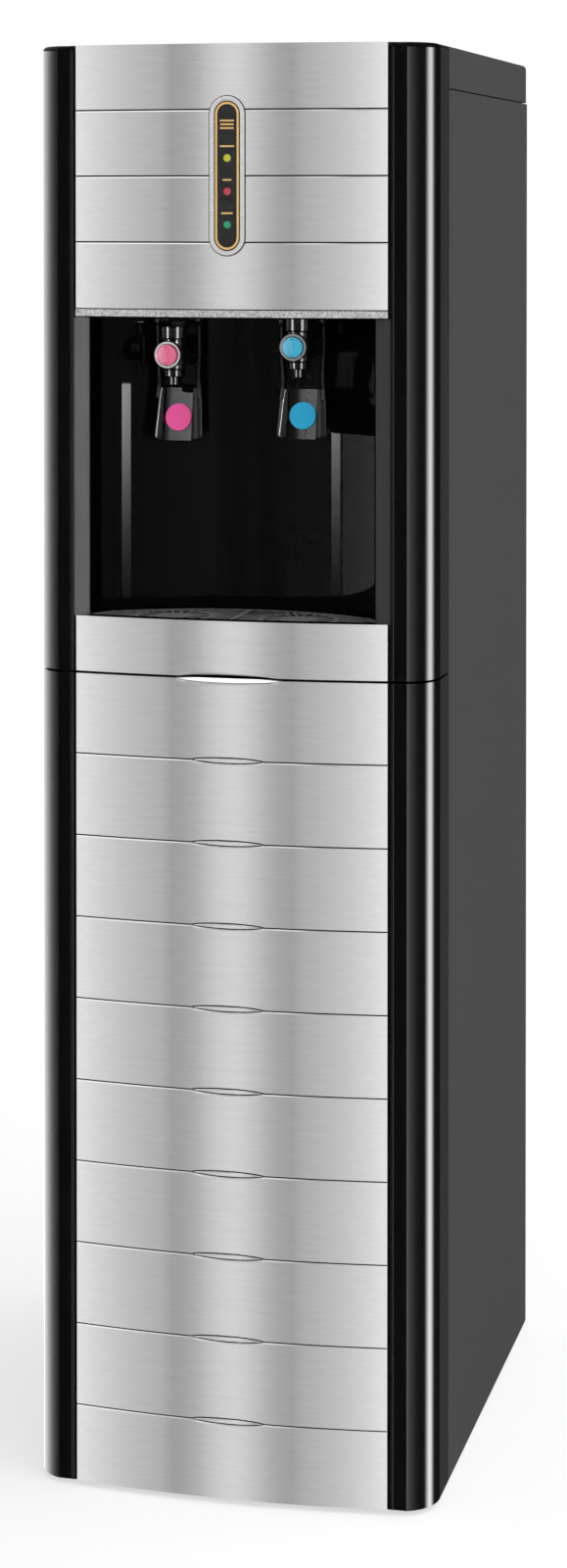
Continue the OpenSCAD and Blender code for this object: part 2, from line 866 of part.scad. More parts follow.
// A ring of wedge-shaped slots between straight bars, from r0 out to r1
module slot_ring(n, r0, r1) {
    for (i = [0 : n - 1])
        rotate(360 * (i + 0.5) / n)
            polygon([
                [r0, -PI * r0 / n + bar_w / 2], [r1, -PI * r1 / n + bar_w / 2],
                [r1, PI * r1 / n - bar_w / 2], [r0, PI * r0 / n - bar_w / 2]]);
}
module drip_grille() {
    edge = run_gap + tray_t + run_gap;
    rim = 5;
    color([0.16, 0.16, 0.17])
        translate([0, 0, grille_z0 + 0.1])
            linear_extrude(grille_t)
                difference() {
                    niche_plan_full(edge, tray_front + tray_t + run_gap);
                    intersection() {
                        niche_plan_full(edge + rim, tray_front + tray_t + run_gap + rim);
                        for (m = [0, 1])
                            mirror([m, 0])
                                intersection() {
                                    translate([tap_x, spout_y]) {
                                        slot_ring(slot_n / 2, target_r + 3, target_r + 19);
                                        slot_ring(slot_n, target_r + 22, niche_x);
                                    }
                                    translate([2, y_apex])
                                        square([niche_x, niche_d + bow_h]);
                                }
                    }
                }
}

// Service panel: the lower front, which pulls off forwards
module lower_fascia() {
    color(gloss_col)
        difference() {
            union() {
                columns(foot_h, low_z1, y_side - run_gap);
                bowed(steel_t, steel_t + wall_t, niche_x + 1, foot_h, low_z1);
                // stiffening ribs behind the web
                for (z = [foot_h, low_z1 - 40])
                    translate([0, 0, z])
                        linear_extrude(wall_t)
                            bowed_2d(steel_t + 1, steel_t + 14, niche_x + 1);
                for (m = [0, 1], z = [clip_z0, clip_z1])
                    mirror([m, 0, 0])
                        translate([clip_x, 0, z]) {
                            translate([-7, y_side - 26, -7])
                                cube([cab_w / 2 - clip_x + 6, 25, 14]);
                            rod_y(clip_r - 0.5, y_side - 8, y_side + stud_l);
                        }
            }
            standing(y_apex - 5, y_apex + 16)
                translate([0, seam_z])
                    lens_2d(pull_w, pull_h);
        }
}

module lower_steel_panel() {
    color(steel_col)
        difference() {
            bowed(0, steel_t, steel_w / 2, foot_h, low_z1);
            for (i = [1 : low_strips - 1]) {
                translate([0, 0, i * low_pitch - groove_w / 2])
                    linear_extrude(groove_w)
                        bowed_2d(-2, groove_d, steel_w / 2 + 1);
                intersection() {
                    standing(y_apex - 5, y_apex + 5)
                        translate([0, i * low_pitch])
                            lens_2d(dimple_w, dimple_h);
                    bowed(-2, groove_d - 0.1, dimple_w, i * low_pitch - dimple_h, i * low_pitch + dimple_h);
                }
            }
            standing(y_apex - 5, y_apex + 16)
                translate([0, seam_z])
                    lens_2d(pull_w, pull_h);
        }
}

// Sprung sockets for the service panel's studs, behind the side panels' front lips
module panel_clips() {
    color([0.85, 0.85, 0.82])
        for (x = [-1, 1], z = [clip_z0, clip_z1])
            translate([x * clip_x, 0, z])
                difference() {
                    translate([-7.5, y_side + sheet_t, -9])
                        cube([15, stud_l + 3, 18]);
                    rod_y(clip_r, y_side - 1, y_side + stud_l + 1.5);
                }
}

// Taps. Each is drawn about its knob's axis: the spout's axis is Z, the knob looks to -Y.
module tap_body(knob_z) {
    top = 10;
    lug_x = 8;
    pin_up = pin_z - knob_z;
    difference() {
        union() {
            translate([0, 0, -14])
                cylinder(r = barrel_r, h = 14 + top);
            translate([0, 0, -19.5])
                cylinder(r = 10.5, h = 7);
            translate([0, 0, -27])
                cylinder(r = tip_d / 2, h = 10);
            // boss for the knob, just short of the bonnet
            rod_y(top - 0.2, -15, 0);
            // shank to the niche's wall, with its flange, thread and barb
            rod_y(shank_d / 2, 0, boss_y1 + thread_l - spout_y);
            rod_y(shank_d / 2 + 4, boss_y0 - spout_y - 4, boss_y0 - spout_y);
            rod_y(tube_d / 2 - 1, boss_y1 + thread_l - spout_y - 1, barb_y - spout_y);
            // bracket that carries the lever's pin behind the bonnet
            translate([-6, bonnet_r + 0.8, 0])
                cube([12, 5, pin_up + 1]);
            translate([0, pin_back, pin_up]) {
                rod_x(pin_back - bonnet_r - gap, -arm_in + gap, arm_in - gap);
                for (x = [gap - arm_in, lug_x])
                    rod_x(5, x, x + arm_in - gap - lug_x);
            }
        }
        translate([0, 0, -28])
            cylinder(r = spout_bore / 2, h = 25);
        rod_y(4 + fit, -16, -5);
        translate([0, pin_back, pin_up])
            rod_x(pin_d / 2 + 0.02, -30, 30);
    }
}
module at_hot() {
    translate([-tap_x, spout_y, hot_z])
        children();
}
module at_cold() {
    translate([tap_x, spout_y, cold_z])
        children();
}
module hot_tap_body() {
    color(gloss_col)
        at_hot()
            tap_body(hot_z);
}
module cold_tap_body() {
    color(gloss_col)
        at_cold()
            tap_body(cold_z);
}

// Ribbed bonnet on top of each tap
module bonnet() {
    ribs = 26;
    translate([0, 0, 10]) {
        linear_extrude(13)
            polygon([for (i = [0 : 4 * ribs - 1])
                let (r = (i % 4 < 2) ? bonnet_r : bonnet_r - 0.9)
                [r * cos(i * 90 / ribs), r * sin(i * 90 / ribs)]]);
        cylinder(r = bonnet_r - 3, h = 14.6);
    }
}
module tap_bonnets() {
    color(gloss_col) {
        at_hot()
            bonnet();
        at_cold()
            bonnet();
    }
}

// Lever: two arms from the pin, and a scooped paddle that leans out at its foot
module lever_outline(length) {
    half = paddle_w / 2;
    right = [
        [arm_in + arm_w, 8], [arm_in + arm_w, -30], [arm_in + arm_w - 1, -knee_z + 2],
        [half - 1.2, -plate_top + 1], [half, -plate_top - 8], [half, -length + 7],
        [half - 2, -length + 2.2], [half - 6.5, -length]];
    polygon(concat(right, mirrored(right)));
}
module lever_profile(length) {
    polygon([
        [3.6, 0], [4.2, -30], [knee_y, -knee_z], [-foot_y, -length],
        [-foot_y - 8, -length], [-1.6, -knee_z - 4], [-3.2, -knee_z + 12], [-3.6, 0]]);
}
module lever(length) {
    run = length - knee_z;
    lean = atan((knee_y + foot_y) / run);
    difference() {
        intersection() {
            union() {
                sideways(-paddle_w, paddle_w)
                    lever_profile(length);
                rod_x(7, -paddle_w, paddle_w);
            }
            standing(-30, 30)
                lever_outline(length);
        }
        // space between the arms
        standing(-40, 40)
            polygon([
                [-arm_in, 12], [arm_in, 12], [arm_in - 0.6, -42], [arm_in - 2.6, -knee_z],
                [scoop_x - 0.7, -plate_top], [0.7 - scoop_x, -plate_top], [-arm_in + 2.6, -knee_z],
                [-arm_in + 0.6, -42]]);
        // scoop in the paddle's face, plate_t in front of its back
        translate([0, knee_y, -knee_z])
            rotate([-lean, 0, 0])
                translate([0, -plate_t, -run * 1.2])
                    linear_extrude(run * 1.2 - 3)
                        polygon([
                            [-scoop_x, 0], [scoop_x, 0], [scoop_x + 5, -12], [-scoop_x - 5, -12]]);
        rod_x(pin_d / 2 + fit, -40, 40);
    }
}
// Round pad on the paddle, set out from its face
module lever_pad(length) {
    run = length - knee_z;
    lean = atan((knee_y + foot_y) / run);
    down = (length - 20.5 - knee_z) / cos(lean);
    translate([0, knee_y, -knee_z])
        rotate([-lean, 0, 0])
            translate([0, 0, -down])
                rod_y(pad_d / 2, -plate_t - 1.6, -plate_t);
}
module at_pin(x) {
    translate([x, pin_y, pin_z])
        children();
}
module hot_lever() {
    color(gloss_col)
        at_pin(-tap_x)
            lever(hot_lever_l);
}
module cold_lever() {
    color(gloss_col)
        at_pin(tap_x)
            lever(cold_lever_l);
}
module hot_lever_pad() {
    color([0.92, 0.35, 0.65])
        at_pin(-tap_x)
            lever_pad(hot_lever_l);
}
module cold_lever_pad() {
    color([0.18, 0.66, 0.85])
        at_pin(tap_x)
            lever_pad(cold_lever_l);
}
module lever_pins() {
    color([0.8, 0.8, 0.8])
        for (x = [-tap_x, tap_x])
            at_pin(x)
                rod_x(pin_d / 2, -arm_in - arm_w, arm_in + arm_w);
}

// Knob: metal ring with its shaft, and the coloured face with a finger rib
ring_y0 = -24.4;
ring_y1 = -15.4;
module knob_ring() {
    difference() {
        union() {
            rod_y(ring_d / 2 - 1, ring_y0, ring_y0 + 1.2);
            rod_y(ring_d / 2, ring_y0 + 1, ring_y1);
            rod_y(4, ring_y1 - 0.5, -6);
        }
        rod_y(knob_d / 2 + 0.3, ring_y0 - 1, ring_y0 + 3);
    }
}
module knob_face() {
    rod_y(knob_d / 2, ring_y0 - 0.6, ring_y0 + 3);
    translate([-1.5, ring_y0 - 2.4, -knob_d / 2 + 1.8])
        cube([3, 2, knob_d - 3.6]);
}
module hot_knob_ring() {
    color([0.72, 0.72, 0.7])
        at_hot()
            knob_ring();
}
module cold_knob_ring() {
    color([0.72, 0.72, 0.7])
        at_cold()
            knob_ring();
}
module hot_knob() {
    color([0.92, 0.35, 0.62])
        at_hot()
            knob_face();
}
module cold_knob() {
    color([0.14, 0.62, 0.82])
        at_cold()
            knob_face();
}
module tap_nuts() {
    color([0.8, 0.75, 0.5])
        for (t = [[-tap_x, hot_z], [tap_x, cold_z]])
            translate([t[0], boss_y1, t[1]])
                difference() {
                    rotate([-90, 0, 0])
                        cylinder(r = shank_d / 2 + 5, h = 8, $fn = 6);
                    rod_y(shank_d / 2 + fit, -1, 9);
                }
}

// Cold tank, in its foam, with the evaporator round it
module cold_tank() {
    color([0.76, 0.77, 0.78])
        translate([tap_x, cold_y, cold_z0])
            difference() {
                union() {
                    cylinder(r = cold_d / 2, h = cold_h, $fn = 96);
                    translate([0, 0, cold_z - cold_z0])
                        rod_y(tube_d / 2, -foam_r1, -cold_d / 2 + 1);
                    // drain, and the hot tank's supply
                    translate([0, 0, -foam_base])
                        cylinder(r = tube_d / 2, h = foam_base + 0.5);
                    translate([-fill_x, hot_y - cold_y, -foam_base])
                        cylinder(r = tube_d / 2, h = foam_base + 0.5);
                }
                translate([0, 0, tank_wall])
                    cylinder(r = cold_d / 2 - tank_wall, h = cold_h, $fn = 96);
                translate([0, 0, cold_z - cold_z0])
                    rod_y(tube_d / 2 - 1.5, -foam_r1 - 1, -cold_d / 2 + 3);
                translate([0, 0, -foam_base - 1])
                    cylinder(r = tube_d / 2 - 1.5, h = foam_base + 3);
                translate([-fill_x, hot_y - cold_y, -foam_base - 1])
                    cylinder(r = tube_d / 2 - 1.5, h = foam_base + 3);
            }
}
module cold_tank_foam() {
    z0 = shelf2_z + sheet_t;
    color([0.93, 0.93, 0.9])
        translate([tap_x, cold_y, z0])
            difference() {
                cylinder(r = foam_r1, h = cold_z1 - z0, $fn = 96);
                translate([0, 0, foam_base])
                    cylinder(r = foam_r0, h = cold_h + 1, $fn = 96);
                translate([0, 0, cold_z - z0])
                    rod_y(tube_d / 2 + gap / 2, -foam_r1 - 1, 0);
                translate([suction_x - tap_x, 0, evap_z0 - z0])
                    rod_y(evap_d / 2 + gap / 2, 0, foam_r1 + 1);
                translate([0, 0, -1])
                    cylinder(r = tube_d / 2 + gap / 2, h = foam_base + 2);
                translate([-fill_x, hot_y - cold_y, -1])
                    cylinder(r = tube_d / 2 + gap / 2, h = foam_base + 2);
                translate([0, capillary_y - cold_y, capillary_z - z0])
                    rod_x(capillary_d / 2 + gap / 2, -foam_r1, -foam_r0 + 26);
            }
}

// The coil lies on the tank's wall: level turns, each stepping up to the next at the back, and
// a suction line that leaves the lowest turn and runs down to the compressor
module evaporator_coil() {
    r = evap_d / 2;
    sx = evap_r * sin(evap_open);
    sy = evap_r * cos(evap_open);
    lean = atan(2 * sx / evap_pitch);
    suction_z = comp_z0 + stub_up;
    color([0.75, 0.45, 0.28]) {
        translate([tap_x, cold_y, evap_z0]) {
            for (i = [0 : evap_n - 1])
                translate([0, 0, i * evap_pitch]) {
                    rotate(90 + evap_open)
                        bend(evap_r, r, 360 - 2 * evap_open);
                    for (x = [-sx, sx])
                        translate([x, sy, 0])
                            sphere(r = r + 0.1, $fn = 24);
                }
            for (i = [0 : evap_n - 2])
                translate([sx, sy, i * evap_pitch])
                    rotate([0, -lean, 0])
                        cylinder(r = r, h = evap_pitch / cos(lean), $fn = 24);
        }
        route([
            [suction_x, cold_y + sy, evap_z0], [suction_x, suction_y, evap_z0],
            [suction_x, suction_y, suction_z], [comp_x + stub_x + 0.2, suction_y, suction_z]], r, 10);
    }
}

module cold_tank_lid() {
    plug_r = cold_d / 2 - tank_wall - gap;
    color([0.85, 0.86, 0.87])
        translate([tap_x, cold_y, lid_z])
            difference() {
                union() {
                    cylinder(r = foam_r1, h = lid_t, $fn = 96);
                    translate([0, 0, -6])
                        cylinder(r = plug_r, h = 6.5, $fn = 96);
                }
                translate([0, 0, -7])
                    cylinder(r = plug_r - 3, h = 7, $fn = 96);
                translate([float_x - tap_x, float_y - cold_y, -10])
                    cylinder(r = 8 + gap / 2, h = lid_t + 20);
            }
}

// Fill valve through the lid, with the fork that carries the float's arm
module float_valve() {
    color([0.2, 0.35, 0.6])
        translate([float_x, float_y, 0])
            difference() {
                union() {
                    translate([0, 0, lid_z + lid_t])
                        cylinder(r = 12, h = 6);
                    translate([0, 0, lid_z - 12])
                        cylinder(r = 8, h = lid_t + 18);
                    translate([0, 0, lid_z + lid_t + 5])
                        cylinder(r = 5, h = 11);
                    translate([-7, -4, float_z - 6])
                        cube([14, 8, lid_z - 10 - float_z + 6]);
                }
                translate([-3.4, -10, float_z - 10])
                    cube([6.8, 20, 18]);
                translate([0, 0, float_z])
                    rod_x(1.5, -20, 20);
                translate([0, 0, lid_z + lid_t - 2])
                    cylinder(r = 2.5, h = 40);
            }
}
module float_arm() {
    color([0.9, 0.9, 0.88])
        translate([float_x, float_y, float_z]) {
            rod_x(1.5 - fit, -6.8, 6.8);
            rod_x(3.5, -2.8, 2.8);
            rod_y(1.6, 1, float_arm_l);
            translate([0, float_arm_l + float_r - 3, 0])
                sphere(r = float_r);
        }
}

// Hot tank: straight wall, domed ends, necks for the tap, the supply and the drain
module hot_dome_2d(r, rise) {
    dome_r = (r * r + rise * rise) / (2 * rise);
    intersection() {
        translate([0, rise - dome_r])
            circle(r = dome_r, $fn = round_fn);
        square([r, rise]);
    }
}
module hot_shape_2d(inset) {
    translate([0, dome_h])
        square([hot_d / 2 - inset, hot_h]);
    translate([0, dome_h + hot_h])
        hot_dome_2d(hot_d / 2 - inset, dome_h - inset);
    translate([0, dome_h])
        mirror([0, 1])
            hot_dome_2d(hot_d / 2 - inset, dome_h - inset);
}
module hot_tank() {
    full = hot_h + 2 * dome_h;
    wall = 1.5;
    color([0.76, 0.77, 0.78])
        translate([-tap_x, hot_y, hot_z0])
            difference() {
                union() {
                    rotate_extrude()
                        hot_shape_2d(0);
                    for (x = [0, fill_x])
                        translate([x, 0, full - 8])
                            cylinder(r = 5, h = jacket_t + 8);
                    translate([0, 0, -jacket_t])
                        cylinder(r = 5, h = jacket_t + 1);
                }
                rotate_extrude()
                    hot_shape_2d(wall);
                for (x = [0, fill_x])
                    translate([x, 0, full - 10])
                        cylinder(r = 3.2, h = jacket_t + 12);
                translate([0, 0, -jacket_t - 1])
                    cylinder(r = 3.2, h = jacket_t + 5);
            }
}
module hot_tank_jacket() {
    r = hot_d / 2 + gap / 2;
    full = hot_h + 2 * dome_h;
    color([0.35, 0.35, 0.36])
        translate([-tap_x, hot_y, hot_z0])
            difference() {
                translate([0, 0, -jacket_t])
                    cylinder(r = r + jacket_t, h = full + 2 * jacket_t, $fn = 96);
                translate([0, 0, -gap / 2])
                    cylinder(r = r, h = full + gap, $fn = 96);
                translate([0, 0, -jacket_t - 1])
                    cylinder(r = 5 + gap / 2, h = full + 3 * jacket_t);
                translate([fill_x, 0, full - 1])
                    cylinder(r = 5 + gap / 2, h = 2 * jacket_t);
            }
}

// Compressor: a deep-drawn shell on a footed plate, with its terminal box and stubs
module compressor() {
    r = comp_d / 2;
    dome = 34;
    body_h = comp_h - dome;
    term_w = 52;
    term_h = 44;
    term_out = 20;
    color([0.08, 0.08, 0.09])
        translate([comp_x, comp_y, comp_z0]) {
            rotate_extrude($fn = 96)
                polygon(concat(
                    [[0, 0], [r * 0.62, 0]],
                    [for (a = [0 : 10 : 90]) [r * 0.72 + r * 0.24 * sin(a), 18 - 16 * cos(a)]],
                    [[r * 0.96, body_h * 0.5], [r, body_h * 0.5],
                     [r, body_h * 0.5 + 5], [r * 0.96, body_h * 0.5 + 5]],
                    [for (a = [0 : 10 : 90]) [r * 0.96 * cos(a), body_h - 2 + dome * sin(a)]]));
            translate([0, 0, -4])
                difference() {
                    linear_extrude(4.5)
                        polygon([
                            [-grommet_x - 12, -grommet_y - 12], [grommet_x + 12, -grommet_y - 12],
                            [grommet_x + 12, -grommet_y + 10], [grommet_x - 16, 0],
                            [grommet_x + 12, grommet_y - 10], [grommet_x + 12, grommet_y + 12],
                            [-grommet_x - 12, grommet_y + 12], [-grommet_x - 12, grommet_y - 10],
                            [-grommet_x + 16, 0], [-grommet_x - 12, -grommet_y + 10]]);
                    for (x = [-1, 1], y = [-1, 1])
                        translate([x * grommet_x, y * grommet_y, -1])
                            cylinder(r = 7, h = 8);
                }
            // terminal box, suction stub and discharge stub
            translate([r * 0.8, -term_w / 2, body_h * 0.25])
                cube([r * 0.2 + term_out, term_w, term_h]);
            translate([0, suction_y - comp_y, stub_up])
                rod_x(evap_d / 2 + 0.6, 0, stub_x);
            translate([disch_x - comp_x, 0, cond_z0 - comp_z0])
                rod_y(cond_tube_d / 2 + 0.6, 0, disch_y - comp_y);
        }
}
module compressor_grommets() {
    z0 = pan_z + sheet_t;
    color([0.2, 0.2, 0.2])
        for (x = [-1, 1], y = [-1, 1])
            translate([comp_x + x * grommet_x, comp_y + y * grommet_y, 0])
                rotate_extrude()
                    polygon([
                        [0, z0 - 3], [5.9, z0 - 3], [5.9, z0], [10, z0], [11, z0 + 6], [10, comp_z0 - 4],
                        [6.8, comp_z0 - 4], [6.8, comp_z0 + 0.5], [9, comp_z0 + 0.6], [8, comp_z0 + 4],
                        [0, comp_z0 + 4]]);
}

// Condenser: one tube from the compressor, laid in level passes, and upright wires on both faces
module condenser() {
    side = cond_w / 2;
    half = side - cond_r;
    turn_y = disch_y + 0.2 + cond_r + 4;
    passes = [for (i = [0 : cond_n - 1], e = [-1, 1])
        [(i % 2 == 0 ? e : -e) * side, cond_y, cond_z0 + i * cond_pitch]];
    line = concat(
        [[disch_x, disch_y + 0.2, cond_z0], [disch_x, turn_y, cond_z0], [-side - 4, turn_y, cond_z0],
            [-side - 4, cond_y, cond_z0]],
        [for (i = [1 : 2 * cond_n - 1]) passes[i]],
        [[drier_x, cond_y, drier_z - 0.2]]);
    color([0.1, 0.1, 0.11]) {
        route(line, cond_tube_d / 2, min(cond_r, (cond_y - turn_y) / 2 - 0.1));
        translate([0, cond_y, 0])
            for (s = [-1, 1], i = [0 : wire_n - 1])
                translate([-half + 6 + i * (2 * half - 12) / (wire_n - 1), s * wire_off, cond_z0 - 8])
                    cylinder(r = wire_d / 2, h = (cond_n - 1) * cond_pitch + 16, $fn = 8);
        // brackets from the side panels' rear lips to the wires
        for (m = [0, 1], z = [cond_z0 + 1.5 * cond_pitch, cond_top - 1.5 * cond_pitch])
            mirror([m, 0, 0])
                translate([0, 0, z - 8])
                    linear_extrude(16)
                        polygon([
                            [half - 16, cond_y + wire_off + 0.95], [half - 16, cond_y + wire_off + 2.4],
                            [in_x - 15, y_back - sheet_t - 0.1], [in_x - 2, y_back - sheet_t - 0.1],
                            [in_x - 2, y_back - sheet_t - 1.6], [in_x - 14, y_back - sheet_t - 1.6]]);
    }
}

// Filter drier, with the capillary tube that runs up into the cold tank's foam
module filter_drier() {
    color([0.75, 0.45, 0.28]) {
        translate([drier_x, cond_y, drier_z])
            rotate_extrude()
                polygon([
                    [0, 0], [2.4, 0], [2.4, 12], [9, 18], [9, 84], [2.4, 90], [2.4, 98], [0, 98]]);
        route([
            [drier_x, cond_y, drier_z + 97], [drier_x, cond_y, capillary_z],
            [drier_x, capillary_y, capillary_z], [capillary_x, capillary_y, capillary_z]],
            capillary_d / 2, 12);
    }
}

// Filter head, across the cabinet between the side panels
module filter_head() {
    first = -(filter_n - 1) / 2 * filter_pitch;
    ear_t = 4;
    ear_h = 30;
    color([0.9, 0.9, 0.92])
        difference() {
            union() {
                translate([-in_x, filter_y - head_d / 2, head_z])
                    cube([2 * in_x, head_d, head_h]);
                for (x = [-1, 1])
                    translate([x * (in_x - ear_t / 2) - ear_t / 2, filter_y - head_d / 2, head_z - ear_h])
                        cube([ear_t, head_d, ear_h + 4]);
            }
            for (i = [0 : filter_n - 1])
                translate([first + i * filter_pitch, filter_y, head_z - 1])
                    cylinder(r = neck_r + gap, h = neck_h + 2);
        }
}
module filter_cartridges() {
    first = -(filter_n - 1) / 2 * filter_pitch;
    r = filter_d / 2;
    color([0.94, 0.94, 0.95])
        for (i = [0 : filter_n - 1])
            translate([first + i * filter_pitch, filter_y, filter_z1])
                rotate_extrude()
                    polygon(concat(
                        [[0, neck_h], [neck_r, neck_h], [neck_r, 0], [r - 6, 0], [r, -6]],
                        [[r, -50], [r - 1.5, -51], [r - 1.5, -56], [r, -57]],
                        [for (a = [0 : 15 : 90]) [r * cos(a), -filter_l + 12 - 12 * sin(a)]]));
}

// Inlet: push-in fitting on the rear wall, then the solenoid valve
module inlet_fitting() {
    color([0.9, 0.9, 0.9])
        translate([inlet_x, 0, fit_z])
            difference() {
                union() {
                    rod_y(8, y_back - 26, y_back);
                    rod_y(12, wall_y - 4, wall_y);
                }
                rod_y(supply_d / 2 + fit, y_back - 20, y_back + 1);
                rod_y(2, y_back - 30, y_back - 10);
            }
}
module inlet_valve() {
    y1 = y_back - 26;
    color([0.88, 0.88, 0.86])
        translate([inlet_x, 0, fit_z]) {
            difference() {
                rod_y(11, valve_y, y1);
                rod_y(3, valve_y - 1, y1 + 1);
            }
            translate([-14, valve_y + 14, -26])
                cube([28, 30, 17]);
            translate([-10, valve_y + 18, -fit_z + pan_z + sheet_t])
                cube([20, 22, fit_z - pan_z - sheet_t - 25]);
        }
}

// Water tubes, square to the cabinet with round bends
module water_tubes() {
    r = tube_d / 2;
    neck_z = hot_top + jacket_t;
    rise_y = filter_y + head_d / 2 + 36;
    mid_z = (shelf2_z + sheet_t + neck_z) / 2;
    feed_z = lid_z + lid_t + 34;
    drain_y = y_back - 34;
    color([0.92, 0.93, 0.95]) {
        // from the cold tank and the hot tank to the taps
        bar([tap_x, barb_y, cold_z], [tap_x, cold_y - foam_r1, cold_z], r);
        route([[-tap_x, barb_y, hot_z], [-tap_x, hot_y, hot_z], [-tap_x, hot_y, neck_z]], r, tube_bend);
        // supply, from the valve up to the filter head
        route([
            [inlet_x, valve_y, fit_z], [inlet_x, rise_y, fit_z], [inlet_x, rise_y, head_z + head_h / 2],
            [inlet_x, filter_y + head_d / 2, head_z + head_h / 2]], r, tube_bend);
        // filtered water, up and over to the fill valve
        route([
            [float_x, filter_y, head_z + head_h], [float_x, filter_y, feed_z], [float_x, float_y, feed_z],
            [float_x, float_y, lid_z + lid_t + 16]], r, tube_bend);
        // from the cold tank down into the hot tank
        route([
            [tap_x - fill_x, hot_y, shelf2_z + sheet_t], [tap_x - fill_x, hot_y, mid_z],
            [fill_x - tap_x, hot_y, mid_z], [fill_x - tap_x, hot_y, neck_z]], r, tube_bend);
        // drains
        route([
            [tap_x, cold_y, shelf2_z + sheet_t], [tap_x, cold_y, fit_z], [tap_x, drain_y - 24, fit_z],
            [drain_x + drain_step, drain_y - 24, fit_z], [drain_x + drain_step, drain_y, fit_z]], r, 10);
        route([
            [-tap_x, hot_y, shelf1_z + sheet_t], [-tap_x, hot_y, fit_z], [drain_x, hot_y, fit_z],
            [drain_x, drain_y, fit_z]], r, tube_bend);
    }
}

// Drains: two stubs through the rear wall
module drain_outlets() {
    color([0.9, 0.9, 0.9])
        for (i = [0, 1])
            translate([drain_x + i * drain_step, 0, fit_z])
                difference() {
                    union() {
                        rod_y(8, y_back - 34, y_back);
                        rod_y(12, wall_y - 4, wall_y);
                    }
                    rod_y(5, y_back - 30, y_back + 1);
                }
}
module cord_gland() {
    color([0.12, 0.12, 0.12])
        translate([cord_x, 0, fit_z])
            difference() {
                union() {
                    rod_y(8, y_back - 12, y_back);
                    rod_y(12, wall_y - 4, wall_y);
                }
                rod_y(cord_d / 2, y_back - 20, y_back + 1);
            }
}

// Rear rocker switches: framed housings and two rockers that tip about X
rocker_y = y_back - 2 * sheet_t - 2;
module switch_frames() {
    inner_w = rocker_w + 2 * run_gap;
    inner_h = rocker_h + 2 * run_gap + 1;
    color([0.1, 0.1, 0.1])
        for (i = [0, 1])
            translate([switch_x + i * switch_step, 0, switch_z])
                difference() {
                    union() {
                        translate([-rocker_w / 2 - 1.8, y_back - 2 * sheet_t - 18, -rocker_h / 2 - 1.8])
                            cube([rocker_w + 3.6, 18 + sheet_t, rocker_h + 3.6]);
                        translate([-rocker_w / 2 - 4, y_back - sheet_t, -rocker_h / 2 - 4])
                            cube([rocker_w + 8, sheet_t, rocker_h + 8]);
                    }
                    translate([-inner_w / 2, y_back - 2 * sheet_t - 15, -inner_h / 2])
                        cube([inner_w, 30, inner_h]);
                    translate([0, rocker_y - 5, 0])
                        rod_x(1.2 + fit, -inner_w / 2 - 0.8, inner_w / 2 + 0.8);
                }
}
module rocker() {
    translate([0, rocker_y - 5, 0]) {
        rod_x(1.2, -rocker_w / 2 - 1.3, rocker_w / 2 + 1.3);
        sideways(-rocker_w / 2, rocker_w / 2)
            polygon([
                [-4, -4], [-4, 4], [3.2, rocker_h / 2 - 1.2], [4.4, rocker_h / 2 - 1.4],
                [4.2, 0], [7, -rocker_h / 2 + 1.6], [5.8, -rocker_h / 2 + 0.8]]);
    }
}
module rocker_hot() {
    color([0.85, 0.15, 0.15])
        translate([switch_x, 0, switch_z])
            rocker();
}
module rocker_cold() {
    color([0.15, 0.6, 0.3])
        translate([switch_x + switch_step, 0, switch_z])
            rocker();
}

module control_box() {
    box_w = 56;
    box_l = 110;
    box_h = 140;
    box_y = hot_y - 10;
    box_gap = 10;
    color([0.88, 0.88, 0.86])
        translate([in_x - box_w, box_y, rear_z - box_gap - box_h]) {
            cube([box_w, box_l, box_h]);
            translate([-3, 6, 6])
                cube([4, box_l - 12, box_h - 12]);
        }
}

base_pan();
levelling_feet();
side_panel_left();
side_panel_right();
rear_cover();
top_cover();
lower_shelf();
upper_shelf();
upper_fascia();
niche_liner();
upper_steel_panel();
canopy_trim();
indicator_bezel();
indicator_plate();
lamp_power();
lamp_hot();
lamp_cold();
lamp_board();
tray_front_strip();
drip_tray();
drip_grille();
lower_fascia();
lower_steel_panel();
panel_clips();
hot_tap_body();
hot_lever();
hot_lever_pad();
hot_knob_ring();
hot_knob();
cold_tap_body();
cold_lever();
cold_lever_pad();
cold_knob_ring();
cold_knob();
tap_bonnets();
lever_pins();
tap_nuts();
cold_tank();
cold_tank_lid();
cold_tank_foam();
evaporator_coil();
float_valve();
float_arm();
hot_tank();
hot_tank_jacket();
compressor();
compressor_grommets();
condenser();
filter_drier();
filter_head();
filter_cartridges();
inlet_valve();
inlet_fitting();
water_tubes();
drain_outlets();
cord_gland();
switch_frames();
rocker_hot();
rocker_cold();
control_box();
